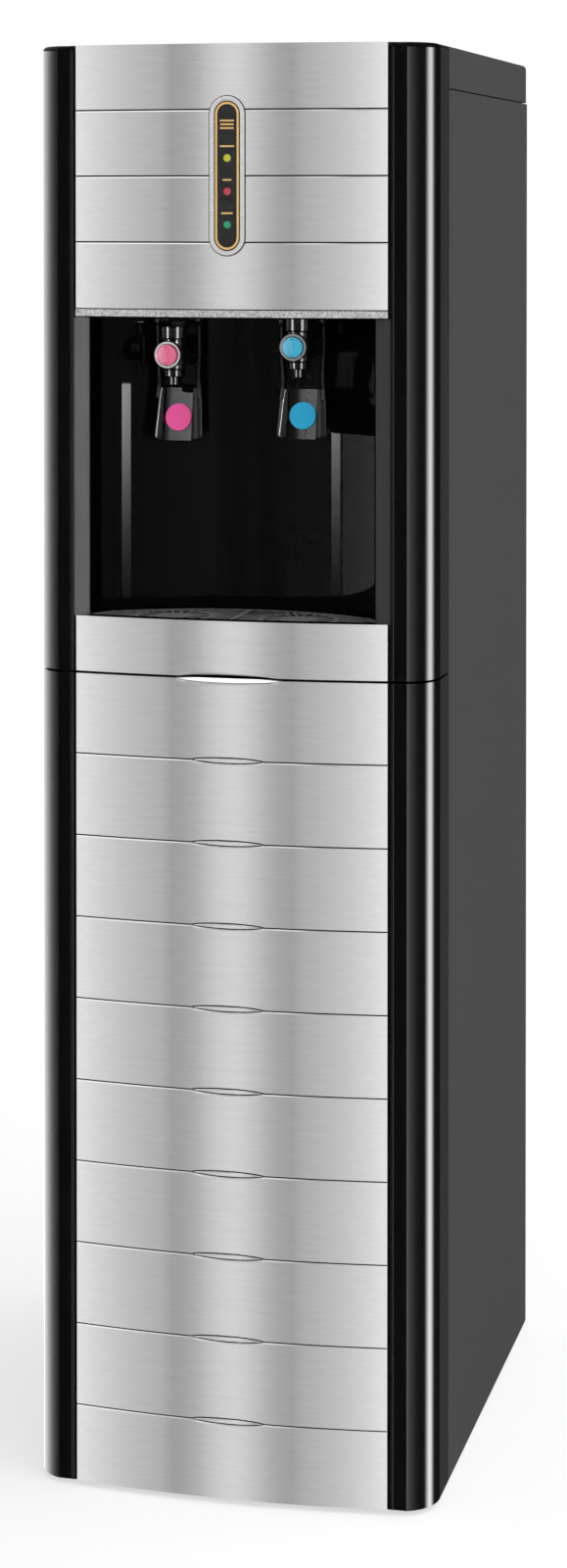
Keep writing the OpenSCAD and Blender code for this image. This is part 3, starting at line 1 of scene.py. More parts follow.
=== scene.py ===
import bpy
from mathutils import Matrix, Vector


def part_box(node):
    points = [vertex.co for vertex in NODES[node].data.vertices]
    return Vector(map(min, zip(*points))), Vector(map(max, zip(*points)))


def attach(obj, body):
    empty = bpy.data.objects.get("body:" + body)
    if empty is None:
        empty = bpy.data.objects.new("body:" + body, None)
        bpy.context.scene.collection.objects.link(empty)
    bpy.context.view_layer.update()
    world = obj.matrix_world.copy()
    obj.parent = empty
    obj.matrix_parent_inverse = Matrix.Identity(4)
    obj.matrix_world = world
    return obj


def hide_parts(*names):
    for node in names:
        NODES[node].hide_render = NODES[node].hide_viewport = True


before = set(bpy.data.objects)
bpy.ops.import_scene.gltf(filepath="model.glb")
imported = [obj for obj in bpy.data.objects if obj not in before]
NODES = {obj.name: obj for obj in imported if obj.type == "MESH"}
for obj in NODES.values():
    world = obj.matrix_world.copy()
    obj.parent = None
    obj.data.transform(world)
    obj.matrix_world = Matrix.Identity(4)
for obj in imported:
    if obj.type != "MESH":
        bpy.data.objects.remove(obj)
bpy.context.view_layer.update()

import math

import bmesh
import bpy
import numpy as np

# Camera: stands level with the upper front, right of it, and is shifted down to hold the whole height.
# A slight tip down keeps the shift small.
scene = bpy.context.scene
camera = bpy.data.objects.new("camera", bpy.data.cameras.new("camera"))
scene.collection.objects.link(camera)
camera.location = (0.72778, -3.06009, 1.17301)
camera.rotation_euler = (math.radians(90 - 0.922), 0, math.radians(13.578))
camera.data.sensor_width = 36
camera.data.lens = 73.866
camera.data.shift_y = -0.335
camera.data.clip_end = 60
scene.camera = camera
scene.view_settings.view_transform = "Standard"

# Cabinet sheets: side panels, rear cover and base pan, folded from 1.2 mm steel and powder coated
# dark grey. The coat has a fine orange-peel grain that breaks up the light. They meet the shelves
# on folded lips and are held by pan-head screws at the rear.
MM = 0.001
HALF_W, Y_SIDE, Y_BACK = 186.5, -175.0, 263.6


def linear(code):
    """sRGB hex to linear colour: each channel c becomes ((c + 0.055) / 1.055) to the power 2.4."""
    channels = [int(code[i:i + 2], 16) / 255 for i in (1, 3, 5)]
    return [c / 12.92 if c <= 0.04045 else ((c + 0.055) / 1.055) ** 2.4 for c in channels] + [1.0]


def add(tree, kind, inputs=None, **settings):
    """Adds a shader node; settings are its own properties, inputs its sockets as values or other sockets."""
    made = tree.nodes.new("ShaderNode" + kind)
    for key, value in settings.items():
        setattr(made, key, value)
    for key, value in (inputs or {}).items():
        if isinstance(value, bpy.types.NodeSocket):
            tree.links.new(value, made.inputs[key])
        else:
            made.inputs[key].default_value = value
    return made


def finish(name, colour, **sockets):
    """Starts a finish: a Principled shader of one colour, with its other sockets set by name."""
    made = bpy.data.materials.new(name)
    made.use_nodes = True
    shader = made.node_tree.nodes["Principled BSDF"]
    shader.inputs["Base Color"].default_value = linear(colour)
    for key, value in sockets.items():
        shader.inputs[key.replace("_", " ")].default_value = value
    return made, made.node_tree, shader


def two_tones(tree, value, light, dark):
    """Colour that runs from the dark to the light tone as a noise rises from 0.3 to 0.7."""
    tone = add(tree, "ValToRGB", {"Fac": value})
    for element, position, colour in zip(tone.color_ramp.elements, (0.3, 0.7), (dark, light)):
        element.position, element.color = position, linear(colour)
    return tone.outputs[0]


def grained(name, light, dark, size, rough, bump=0.0, stretch=(1, 1, 1), detail=3.0, **sockets):
    """A finish whose colour drifts between two tones, and whose roughness and height follow the same
    noise. size is the grain in millimetres, drawn out along an axis by stretch; bump is its height in mm."""
    made, tree, shader = finish(name, light, **sockets)
    place = add(tree, "TexCoord").outputs["Object"]
    if stretch != (1, 1, 1):
        place = add(tree, "Mapping", {"Vector": place, "Scale": [1 / s for s in stretch]}).outputs[0]
    noise = add(tree, "TexNoise", {"Vector": place, "Scale": 1000 / size, "Detail": detail})
    grain = noise.outputs["Fac"]
    tree.links.new(two_tones(tree, grain, light, dark), shader.inputs["Base Color"])
    spread = add(tree, "MapRange", {"Value": grain, "To Min": rough[0], "To Max": rough[1]})
    tree.links.new(spread.outputs[0], shader.inputs["Roughness"])
    if bump:
        relief = add(tree, "Bump", {"Height": grain, "Distance": bump * MM, "Strength": 1.0})
        tree.links.new(relief.outputs[0], shader.inputs["Normal"])
    return made


def skin(rings):
    """Closed skin over rings of points, one ring to a row; the first and last are shut by fans."""
    rows, cols = rings.shape[:2]
    ids = np.arange(rows * cols).reshape(rows, cols)
    after = np.roll(ids, -1, 1)
    quads = np.stack([ids[:-1], after[:-1], after[1:], ids[1:]], -1).reshape(-1, 4)
    first, last = rows * cols, rows * cols + 1
    fans = [np.stack([after[r], ids[r], np.full(cols, m), np.full(cols, m)], -1)
            for r, m in ((0, first), (-1, last))]
    points = np.concatenate([rings.reshape(-1, 3), rings[[0, -1]].mean(1)])
    return points, np.concatenate([quads] + fans)


def piece(name, shells, material, body, replaced=(), sharp=32, grain=None):
    """Joins closed shells, in mm, into one mesh: coincident points merged, faces turned outwards, smooth
    except at edges sharper than `sharp` degrees. Then it takes its finish and rides on its body."""
    starts = np.cumsum([0] + [len(p) for p, _ in shells])
    points = np.concatenate([p for p, _ in shells]) * MM
    quads = np.concatenate([f + s for (_, f), s in zip(shells, starts)])
    mesh = bpy.data.meshes.new(name)
    fan = quads[:, 2] == quads[:, 3]
    mesh.from_pydata(points.tolist(), [], quads[~fan].tolist() + quads[fan, :3].tolist())
    work = bmesh.new()
    work.from_mesh(mesh)
    work.verts.ensure_lookup_table()
    for shell in [work.verts[a:b] for a, b in zip(starts[:-1], starts[1:])]:
        bmesh.ops.remove_doubles(work, verts=shell, dist=1e-6)
    bmesh.ops.dissolve_degenerate(work, edges=work.edges, dist=1e-7)
    bmesh.ops.delete(work, geom=[v for v in work.verts if not v.link_faces], context="VERTS")
    bmesh.ops.recalc_face_normals(work, faces=work.faces)
    work.to_mesh(mesh)
    work.free()
    mesh.polygons.foreach_set("use_smooth", np.ones(len(mesh.polygons), bool))
    mesh.set_sharp_from_angle(angle=math.radians(sharp))
    if grain:
        corner = np.zeros(len(mesh.loops), int)
        mesh.loops.foreach_get("vertex_index", corner)
        spot = np.zeros(len(mesh.vertices) * 3)
        mesh.vertices.foreach_get("co", spot)
        spot = spot.reshape(-1, 3)[corner][:, list(grain)]
        mesh.uv_layers.new(name="grain").data.foreach_set("uv", spot.astype(np.float32).ravel())
    mesh.materials.append(material)
    made = bpy.data.objects.new(name, mesh)
    scene.collection.objects.link(made)
    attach(made, body)
    if replaced:
        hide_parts(*replaced)
    return made


def coat(material, *names):
    """Gives the CAD nodes of these names one finish in place of their own."""
    for name in names:
        NODES[name].data.materials.clear()
        NODES[name].data.materials.append(material)


# Powder coat: polyester baked on steel. A fine grain of 0.7 mm gives a satin face with faint flecks.
paint = grained("powder_coated_steel", "#525252", "#464646", 0.7, (0.42, 0.6), 0.05,
                Specular_IOR_Level=0.2)
coat(paint, "side_panel_left", "side_panel_right", "rear_cover", "base_pan")

# Zinc plate, passivated: a dull warm silver. Each head is a shallow dome with a cross recess.
zinc = grained("zinc_plated_screw", "#b9b7ad", "#98968c", 1.5, (0.25, 0.4), Metallic=1.0)
HEAD_R, HEAD_H, CROSS_R, CROSS_W, CROSS_D = 3.5, 1.1, 2.2, 0.45, 0.7
turn = np.linspace(0, 2 * math.pi, 40, endpoint=False)
reach = np.array([0, 0.6, 1.2, 1.8, 2.3, 2.7, 3.1, 3.4, HEAD_R, HEAD_R])[:, None]
across, up = reach * np.cos(turn), reach * np.sin(turn)
dome = HEAD_H - 0.5 * (reach / HEAD_R) ** 2
cross = ((np.abs(across) < CROSS_W) | (np.abs(up) < CROSS_W)) & (reach < CROSS_R)
head = np.stack([across, dome - CROSS_D * cross, up], -1)
head[-1, :, 1] = -0.1
cover_screws = [(m * 173, z) for m in (-1, 1) for z in (600, 820, 1040, 1262)]
pan_screws = [(m * 172, z) for m in (-1, 1) for z in (22, 62)]
middle_screws = [(0, 1262), (0, 600)]
screws = [skin(head + [x, Y_BACK - 1.2, z]) for x, z in cover_screws + pan_screws + middle_screws]
piece("case_screws", screws, zinc, "cabinet")

# Mouldings: the upper front, the service panel's frame and the top cap are moulded ABS, black right
# through, with a high-gloss skin off a polished tool. A 3 mm wall runs round the corner columns,
# behind the steel, and round the top edges on a 4.5 mm radius.
# The column's plan is a quarter ellipse with half axes COL_A and COL_B, and the front bows out by SAG.
# Heights are above the floor and depths are from the middle of the footprint, all in mm.
WALL, EDGE_R, STEEL_T = 3.0, 4.5, 1.2
Y_APEX, STRIP_Y, JOINT_Y = -262.4, -251.2, Y_SIDE - 0.8
STEEL_X, NICHE_X, CREASE_X = 145.25, 145.65, 162.65
COL_A, COL_B, COL_CX, COL_CY = 33.70, 36.39, 152.80, -216.4
SAG = 10.0
BOW_R = (STEEL_X ** 2 + SAG ** 2) / (2 * SAG)
SEAM_Z, UPPER_Z0, LOWER_Z1, FOOT_Z = 748.5, 749.6, 747.4, 5.0
DECK_Z, NICHE_Z0, TRIM_Z0, TRIM_Z1, TOP_Z = 759.5, 800.0, 1073.5, 1081.0, 1320.0
BAND_X, BAND_Y, ARC_R, ARC_C = 133.4, -248.8, 222.0, -392.4
PULL_W, PULL_UP, PULL_DOWN = 97.6, 3.1, 4.0
BEAD_X, BEAD_R = 149.6, 1.3


def wall(outer, inner, open_column=None, shared=None):
    """Closed wall between two grids of points of one shape: both faces, and a rim along each edge that
    only one quad has. One column of quads may be left open, except in the rows where its two sides share
    their points."""
    rows, cols = outer.shape[:2]
    step = rows * cols
    ids = np.arange(step).reshape(rows, cols)
    if open_column is not None:
        ids[shared, open_column + 1] = ids[shared, open_column]
    quads = np.stack([ids[:-1, :-1], ids[:-1, 1:], ids[1:, 1:], ids[1:, :-1]], -1)
    if open_column is not None:
        quads = np.delete(quads, open_column, 1)
    quads = quads.reshape(-1, 4)
    edges = quads[:, [0, 1, 1, 2, 2, 3, 3, 0]].reshape(-1, 2)
    _, same, count = np.unique(np.sort(edges, 1) @ [step, 1], return_inverse=True, return_counts=True)
    rim = edges[count[same] == 1]
    sides = np.column_stack([rim[:, ::-1], rim + step])
    points = np.concatenate([outer.reshape(-1, 3), inner.reshape(-1, 3)])
    return points, np.concatenate([quads, quads[:, ::-1] + step, sides])


def bow(x, inset=0.0):
    """Depth of the bowed front at x: the arc of radius BOW_R through the apex, moved back by inset."""
    return Y_APEX + BOW_R - np.sqrt((BOW_R - inset) ** 2 - np.asarray(x, float) ** 2)


def pull(x, half_height):
    """Height at x of the finger pull's half ellipse above or below the seam."""
    return half_height * np.sqrt(np.maximum(1 - (2 * np.asarray(x, float) / PULL_W) ** 2, 0))


def offset(path, inset):
    """Moves an open plan path to its right by inset, along the average normal at each point."""
    step = np.diff(path, axis=0)
    step /= np.linalg.norm(step, axis=1)[:, None]
    normal = np.stack([step[:, 1], -step[:, 0]], -1)
    joined = np.concatenate([normal[:1], normal[:-1] + normal[1:], normal[-1:]])
    joined /= np.linalg.norm(joined, axis=1)[:, None]
    cosine = np.concatenate([[1], (joined[1:-1] * normal[1:]).sum(1), [1]])
    return path + joined * (inset / np.maximum(cosine, 0.5))[:, None]


def rounded(a, b, c, radius, steps=6):
    """Points of a round corner of the given radius at b, between the straights from a and to c."""
    a, b, c = (np.array(p, float) for p in (a, b, c))
    u, v = (a - b) / np.linalg.norm(a - b), (c - b) / np.linalg.norm(c - b)
    half = math.acos(np.clip(u @ v, -1, 1)) / 2
    middle = b + (u + v) / np.linalg.norm(u + v) * radius / math.sin(half)
    start, end = b + u * radius / math.tan(half) - middle, b + v * radius / math.tan(half) - middle
    t = np.linspace(0, 1, steps)[:, None]
    arc = start * (1 - t) + end * t
    return middle + arc / np.linalg.norm(arc, axis=1)[:, None] * radius


def column_plan():
    """Plan of the right-hand column from the side panel forward: straight side, ellipse, crease, then the
    strip with a small half-round bead along it."""
    angle = np.radians(np.linspace(90, 17, 40))[:, None]
    ellipse = np.hstack([COL_CX + COL_A * np.sin(angle), COL_CY - COL_B * np.cos(angle)])
    side = np.stack([np.full(6, HALF_W), np.linspace(JOINT_Y, COL_CY, 7)[:-1]], -1)
    crease = rounded(ellipse[-2], (CREASE_X, STRIP_Y), (NICHE_X, STRIP_Y), 0.7, 4)
    turn = np.radians(np.linspace(-90, 90, 9))
    bead = np.stack([BEAD_X - BEAD_R * np.sin(turn), STRIP_Y - 0.6 * np.cos(turn)], -1)
    return np.concatenate([side, ellipse[:-1], crease, bead, [[NICHE_X, STRIP_Y]]])


def mirrored(path):
    """The same plan path on the other side, run the other way."""
    return path[::-1] * [-1, 1]


def upright(path, rows):
    """Grid of points: the plan path moved by each row's inset and set at its height."""
    return np.stack([np.column_stack([offset(path, inset), np.full(len(path), z)]) for inset, z in rows])


def top_round(z0, z1, radius, thick=0.0):
    """Rows of inset and height for a wall that rises from z0 and rounds over to the top at z1."""
    bend = np.radians(np.linspace(0, 90, 8))
    r = radius - thick
    return [(thick, z0), (thick, z1 - radius - 0.01)] + \
        [(radius - r * math.cos(a), z1 - radius + r * math.sin(a)) for a in bend]


# Gloss ABS, moulded: deep black with a clear, slightly soft reflection; its faint cloud is 40 mm wide.
gloss = grained("moulded_gloss_abs", "#070707", "#060606", 40, (0.045, 0.075), Specular_IOR_Level=0.06)

half_plan = column_plan()
upper_shells = []
for plan in (half_plan, mirrored(half_plan)):
    upper_shells.append(wall(upright(plan, top_round(UPPER_Z0, TOP_Z, EDGE_R)),
                             upright(plan, top_round(UPPER_Z0, TOP_Z, EDGE_R, WALL))))

x_web = np.linspace(-NICHE_X, NICHE_X, 81)


def web(z0, z1, out, inner, x=x_web):
    """Bowed wall from out to inner behind the steel's face; z0 and z1 are heights, single or along x."""
    z = np.broadcast_to(z0 + (z1 - z0) * np.linspace(0, 1, 7)[:, None], (7, len(x)))
    front, back = (np.stack([np.broadcast_to(x, z.shape), np.broadcast_to(bow(x, d), z.shape), z], -1)
                   for d in (out, inner))
    return wall(front, back)


upper_shells.append(web(TRIM_Z1, TOP_Z, STEEL_T, STEEL_T + WALL))
pull_edge = np.maximum(SEAM_Z + pull(x_web, PULL_UP + 1), UPPER_Z0)
upper_shells.append(web(pull_edge, NICHE_Z0 - 0.6, STEEL_T, STEEL_T + WALL))


def flat(x, front, back, z0, z1):
    """Level plate between two depths that vary along x, from z0 up to z1."""
    deep = np.linspace(0, 1, 5)[:, None]
    y = front + (back - front) * deep
    top, under = (np.stack([np.broadcast_to(x, y.shape), y, np.full(y.shape, z)], -1) for z in (z1, z0))
    return wall(top, under)


edge = offset(half_plan, EDGE_R)[6:]
edge = edge[edge[:, 0] > NICHE_X + 0.5]
x_top = np.concatenate([-edge[:, 0], x_web, edge[::-1, 0]])
front_top = np.concatenate([edge[:, 1], bow(x_web, STEEL_T), edge[::-1, 1]])
upper_shells.append(flat(x_top, front_top, np.full(len(x_top), JOINT_Y), TOP_Z - WALL, TOP_Z))


def arc_y(x):
    """Depth of the niche's back wall at x: an arc of radius ARC_R about a point in front of the taps."""
    return ARC_C + np.sqrt(ARC_R ** 2 - np.asarray(x, float) ** 2)


def niche_back(x):
    """Depth of the niche's outline at x: the arc behind the taps, or the band beside it."""
    return np.where(np.abs(x) > BAND_X, BAND_Y, arc_y(np.minimum(np.abs(x), BAND_X)))


deck_back = np.maximum(niche_back(x_web) + 2, bow(x_web, 3))
upper_shells.append(flat(x_web, bow(x_web, 2.4), deck_back, DECK_Z - WALL, DECK_Z))
piece("upper_front_moulding", upper_shells, gloss, "cabinet", ["upper_fascia"])

# The niche's opening has a band down each side, spark-eroded to a satin grey texture that takes light
# evenly. It leans back a little and turns on a small radius into the niche's side wall.
band_satin = grained("textured_satin_abs", "#3a3a3b", "#353536", 0.8, (0.3, 0.36), 0.01,
                     Specular_IOR_Level=0.1)
BAND_T = 1.8
band_out = np.array((NICHE_X + 1.6, STRIP_Y - 0.3))
band_foot = np.array((NICHE_X - 1, STRIP_Y + 0.3))
turned_in = rounded(band_out, (BAND_X, BAND_Y), (BAND_X, BAND_Y + 9), 1.2)
band_shells = []
for start, z0, z1 in ((band_out, NICHE_Z0, TRIM_Z0 - 1.2), (band_foot, DECK_Z - WALL, NICHE_Z0)):
    path = np.concatenate([np.linspace(start, turned_in[0], 6)[:-1], turned_in])
    for plan in (path, mirrored(path)):
        front, back = (upright(plan, [(d, z) for z in np.linspace(z0, z1, 5)]) for d in (0, BAND_T))
        band_shells.append(wall(front, back))
piece("niche_side_bands", band_shells, band_satin, "cabinet")

# The service panel's frame goes round both columns and behind the steel in one wall, with ribs and
# four studs that push into sprung sockets.
STUD_X, STUD_Z, BLOCK = 177.3, (65.0, 688.5), 7
x_mid = x_web[-2:0:-1]
lower_plan = np.concatenate([half_plan, np.stack([x_mid, bow(x_mid, STEEL_T)], -1), mirrored(half_plan)])
dip = np.minimum(SEAM_Z - pull(lower_plan[:, 0], PULL_DOWN + 1), LOWER_Z1)
heights = FOOT_Z + (dip - FOOT_Z) * np.linspace(0, 1, 9)[:, None]
frame_face, frame_back = (
    np.concatenate([np.broadcast_to(offset(lower_plan, d), heights.shape + (2,)), heights[..., None]], -1)
    for d in (0, WALL))
lower_shells = [wall(frame_face, frame_back)]
for z in (FOOT_Z, LOWER_Z1 - 40):
    lower_shells.append(web(z, z + WALL, 2.2, 15.2))


def turned(profile, centre, axis, sides=64):
    """Body of revolution about an axis through centre; profile rows are radius and height along the axis."""
    radius, height = np.array(profile, float).T[:, :, None]
    turn = np.linspace(0, 2 * math.pi, sides, endpoint=False)
    a, b = radius * np.cos(turn), radius * np.sin(turn)
    h = np.broadcast_to(height, a.shape)
    order = {"z": (a, b, h), "y": (a, h, b), "x": (h, a, b)}[axis]
    return skin(np.stack(order, -1) + np.array(centre, float))


stud = [(0, -9), (3.1, -9), (3.1, 11), (2.4, 13), (0, 13)]
block = BLOCK * np.array([[-1, 0, -1], [1, 0, -1], [1, 0, 1], [-1, 0, 1]])
for x in (-STUD_X, STUD_X):
    for z in STUD_Z:
        lower_shells.append(turned(stud, (x, Y_SIDE, z), "y", 32))
        lower_shells.append(skin(np.stack([block + [x, y, z] for y in (Y_SIDE - 26, Y_SIDE - 1)])))
piece("service_panel_moulding", lower_shells, gloss, "service_panel", ["lower_fascia"])

# Top cap: one shallow moulding over the rear part, with the same rounded edges, painted to match the
# side panels. A 1 mm shadow gap is left above them.
CAP_Z, CAP_R, CAP_X = 1280.4, 7, HALF_W - EDGE_R
corner = rounded((HALF_W, 0), (HALF_W, Y_BACK), (0, Y_BACK), CAP_R, 8)
half_cap = np.concatenate([np.stack([np.full(9, HALF_W), np.linspace(Y_SIDE, Y_BACK - 8, 9)], -1), corner,
                           np.stack([np.linspace(170, 0, 9), np.full(9, Y_BACK)], -1)])
cap_plan = np.concatenate([half_cap, mirrored(half_cap)[1:]])[::-1]
cap_rows = [(0.4, CAP_Z + 0.7), (0, CAP_Z + 1.1)] + top_round(CAP_Z + 1.6, TOP_Z, EDGE_R)
cap_in = [(WALL, CAP_Z + 0.7), (WALL, CAP_Z + 1.1)] + top_round(CAP_Z + 1.6, TOP_Z, EDGE_R, WALL)
x_cap = np.linspace(-CAP_X, CAP_X, 41)
past = np.abs(x_cap) - (HALF_W - CAP_R)
bend = np.sqrt(np.maximum((CAP_R - EDGE_R) ** 2 - past ** 2, 0))
cap_back = np.where(past > 0, Y_BACK - CAP_R + bend, Y_BACK - EDGE_R)
piece("top_cap_moulding",
      [wall(upright(cap_plan, cap_rows), upright(cap_plan, cap_in)),
       flat(x_cap, np.full(41, Y_SIDE), cap_back, TOP_Z - WALL, TOP_Z)],
      paint, "cabinet", ["top_cover"])

# Niche liner: a separate gloss moulding that curves round behind the taps, with a ceiling over them
# and a raised round seat for each tap. It meets the side bands on a soft concave corner. Its tool is
# polished further than the front's, so that it mirrors what stands before the cooler almost sharply.
mirror_gloss = grained("polished_gloss_abs", "#070707", "#060606", 40, (0.006, 0.016),
                       Specular_IOR_Level=0.06)
LINER_T, ARC_X, SEAT_RISE = 2.5, 124, 5
TAPS = ((-58.5, 1039.0), (58.5, 1047.0))
x_arc = np.linspace(ARC_X, -ARC_X, 121)
arc = np.stack([x_arc, arc_y(x_arc)], -1)
turn_back = rounded((BAND_X, BAND_Y), (BAND_X, arc_y(BAND_X)), arc[0], 5.0, 9)
side_wall = np.concatenate([np.linspace((BAND_X, BAND_Y + 1.3), turn_back[0], 5)[:-1], turn_back])
arc_plan = np.concatenate([side_wall, arc, mirrored(side_wall)])
front, back = (upright(arc_plan, [(d, z) for z in (DECK_Z + 0.2, 860.0, 960.0, TRIM_Z1 + LINER_T)])
               for d in (0, LINER_T))
x_in = x_web[1:-1]
liner_shells = [wall(front, back),
                flat(x_in, bow(x_in, 4.6), niche_back(x_in) - 0.2, TRIM_Z1, TRIM_Z1 + LINER_T)]
for x, z in TAPS:
    liner_shells.append(turned([(9.2, 12), (15, 12), (16, 1.2), (15.6, 0.4), (14.8, 0), (9.2, 0), (9.2, 12)],
                               (x, arc_y(x) - SEAT_RISE, z), "y", 72))
piece("niche_liner_moulding", liner_shells, mirror_gloss, "cabinet", ["niche_liner"])

# Steel front: 1.2 mm stainless sheet pressed over the moulding, satin brushed along its length, in
# strips parted by rolled grooves. Each lower groove swells to a lens-shaped pressing at its middle.
# Brushing draws the highlights out upright. Its lines, really under 0.1 mm wide, are drawn 1.7 mm wide
# and 50 mm long, as coarse as they need to show.
satin, tree, shader = finish("brushed_stainless", "#e6e6e6", Metallic=1.0, Roughness=0.05, Anisotropic=0.9)
tangent = add(tree, "Tangent", direction_type="UV_MAP", uv_map="grain")
tree.links.new(tangent.outputs[0], shader.inputs["Tangent"])
place = add(tree, "TexCoord").outputs["Object"]
brush = add(tree, "TexNoise", {"Scale": 1000.0, "Detail": 2.0, "Vector": add(
    tree, "Mapping", {"Vector": place, "Scale": (0.02, 0.6, 0.6)}).outputs[0]})
streak = add(tree, "MapRange", {"Value": brush.outputs["Fac"], "To Min": 0.04, "To Max": 0.07})
tree.links.new(streak.outputs[0], shader.inputs["Roughness"])
tree.links.new(two_tones(tree, brush.outputs["Fac"], "#e8e8e8", "#e4e4e4"), shader.inputs["Base Color"])

GROOVE, GROOVE_D = 1.2, 0.75
DIMPLE_W, DIMPLE_H, DIMPLE_D = 67.0, 4.8, 0.12
EDGE_DROP, EDGE_D, BEAD_RISE, BEAD_D, FADE, LEAST = 0.9, 0.6, 1.1, 0.3, 18, 0.055


def lens(x):
    """Half height at x of a dimple's lens: a power of the distance to its two points; nought outside."""
    return DIMPLE_H / 2 * np.clip(1 - (2 * x / DIMPLE_W) ** 2, 0, 1) ** 0.7


def crease(x, z, top=1.16):
    """Dark fillet of painted shade swept along the upper side of a groove whose middle runs through x and z,
    up to top.
    """
    proud = GROOVE_D * (1 - top / GROOVE) - 0.01
    section = np.array([[proud, top], [0.5, -0.05], [0.95, -0.05], [0.95, top]])
    x, z = x[:, None] + 0 * section[:, 0], z[:, None]
    return skin(np.stack([x, bow(x) + section[:, 0], z + section[:, 1]], -1))


def cladding(z0, z1, grooves, dimple=False, low_edge=None, high_edge=None, opening=None):
    """Bowed sheet from z0 to z1. Depth at a point is the bow plus a V-shaped dip across each groove; a
    groove that meets a lens parts and runs round it. An edge may follow a curve along x, which fades
    out over FADE: an upper one gets a groove EDGE_DROP under it, a lower one a bead BEAD_RISE above it.
    An opening (middle height, half width, half height) is left where the sheet parts at x = 0. Rows
    closer than LEAST are merged."""
    x_half = np.unique(np.round(np.concatenate([np.linspace(0, 1, 61), np.linspace(0.2, 0.345, 27)]), 4))
    rows, fixed = [np.linspace(z0, z1, 25)], [z0, z1]
    reach = DIMPLE_H / 2 + GROOVE + 0.3 if dimple else GROOVE + 0.2
    rows += [g + np.linspace(-reach, reach, 27 if dimple else 15) for g in grooves]
    if high_edge is not None:
        rows.append(z1 - np.linspace(0, 5, 21))
    if low_edge is not None:
        rows.append(z0 + np.linspace(0, 5, 21))
    if opening:
        middle, half_w, half_h = opening
        tip = half_w * (1 - np.cos(np.radians(np.linspace(0, 90, 14))))
        rows += [middle + half_h - tip, middle - half_h + tip]
        fixed += [round(middle + half_h, 2), round(middle - half_h, 2)]
    z = np.unique(np.round(np.concatenate(rows), 2))
    keep = np.concatenate([[True], np.diff(z) > LEAST])
    keep[-1] = True
    z = z[keep | np.isin(z, fixed)]
    gap = np.zeros_like(z)
    if opening:
        near = np.abs(z - middle)
        curve = np.sqrt(np.maximum(half_w ** 2 - np.maximum(near - (half_h - half_w), 0) ** 2, 0))
        gap = np.where(near < half_h - 1e-6, curve, 0.0)
    right = gap[:, None] + (STEEL_X - gap[:, None]) * x_half
    x = np.hstack([-right[:, ::-1], right]) if opening else np.hstack([-right[:, :0:-1], right])
    height = np.broadcast_to(z[:, None], x.shape)
    if high_edge is not None:
        height = height + np.clip((height - z1 + FADE) / FADE, 0, 1) * (high_edge(x) - z1)
    if low_edge is not None:
        height = height + np.clip((z0 + FADE - height) / FADE, 0, 1) * (low_edge(x) - z0)

    def dip(away, half):
        """V-shaped dip: 1 at its line, falling evenly to 0 at half its width."""
        return 1 - np.clip(np.abs(away) / half, 0, 1)

    depth = np.zeros_like(x)
    for g in grooves:
        half = lens(x) if dimple else 0.0
        from_line = np.abs(height - g) - half
        depth = np.maximum(depth, GROOVE_D * dip(from_line, GROOVE))
        depth = np.maximum(depth, DIMPLE_D * np.clip(-from_line / 0.5, 0, 1))
    if high_edge is not None:
        drop = np.clip(z1 - high_edge(x), 0, 1)
        depth = depth + EDGE_D * drop * dip(height - high_edge(x) + EDGE_DROP, GROOVE)
    if low_edge is not None:
        lift = np.clip(low_edge(x) - z0, 0, 1)
        depth = depth - BEAD_D * lift * dip(height - low_edge(x) - BEAD_RISE, BEAD_RISE)
    face = np.stack([x, bow(x) + depth, height], -1)
    back = np.stack([x, bow(x, STEEL_T), height], -1)
    return [wall(face, back, len(x_half) - 1, gap == 0) if opening else wall(face, back)]


PITCH, TOP_PITCH = SEAM_Z / 10, (TOP_Z - TRIM_Z1) / 4
BEZEL_Z = 1201.0
lower_grooves = [i * PITCH for i in range(1, 10)]
upper_grooves = [TRIM_Z1 + i * TOP_PITCH for i in (1, 2, 3)]

# Behind the finger pull's edge a polished lip slopes back up to the seam, so that no edge can cut.
x_pull = PULL_W / 2 * np.sin(np.radians(np.linspace(-89, 89, 75)))
slope = np.linspace(0, 1, 9)[:, None]
lip_z = np.minimum(SEAM_Z - pull(x_pull, PULL_DOWN), LOWER_Z1)
rolled = lip_z - 0.3 + (SEAM_Z - lip_z) * slope
set_in = bow(x_pull) + 0.9 + 1.3 * slope ** 1.5
lip_face, lip_back = (np.stack([np.broadcast_to(x_pull, rolled.shape), set_in + d, rolled - d], -1)
                      for d in (0, 0.7))
lip_steel = grained("polished_steel_lip", "#f0f0f0", "#e6e6e6", 3.0, (0.2, 0.3), Metallic=1.0)
piece("finger_pull_lip", [wall(lip_face, lip_back)], lip_steel, "service_panel")
piece("lower_steel_cladding",
      cladding(FOOT_Z, LOWER_Z1, lower_grooves, dimple=True,
               high_edge=lambda x: np.minimum(SEAM_Z - pull(x, PULL_DOWN), LOWER_Z1)),
      satin, "service_panel", ["lower_steel_panel"], sharp=18, grain=(2, 0))
piece("upper_steel_cladding", cladding(TRIM_Z1, TOP_Z, upper_grooves, opening=(BEZEL_Z, 15.4, 70.9)),
      satin, "cabinet", ["upper_steel_panel"], sharp=18, grain=(2, 0))
piece("tray_front_cladding",
      cladding(UPPER_Z0, NICHE_Z0, [], low_edge=lambda x: np.maximum(SEAM_Z + pull(x, PULL_UP), UPPER_Z0)),
      satin, "cabinet", ["tray_front_strip"], sharp=18, grain=(2, 0))
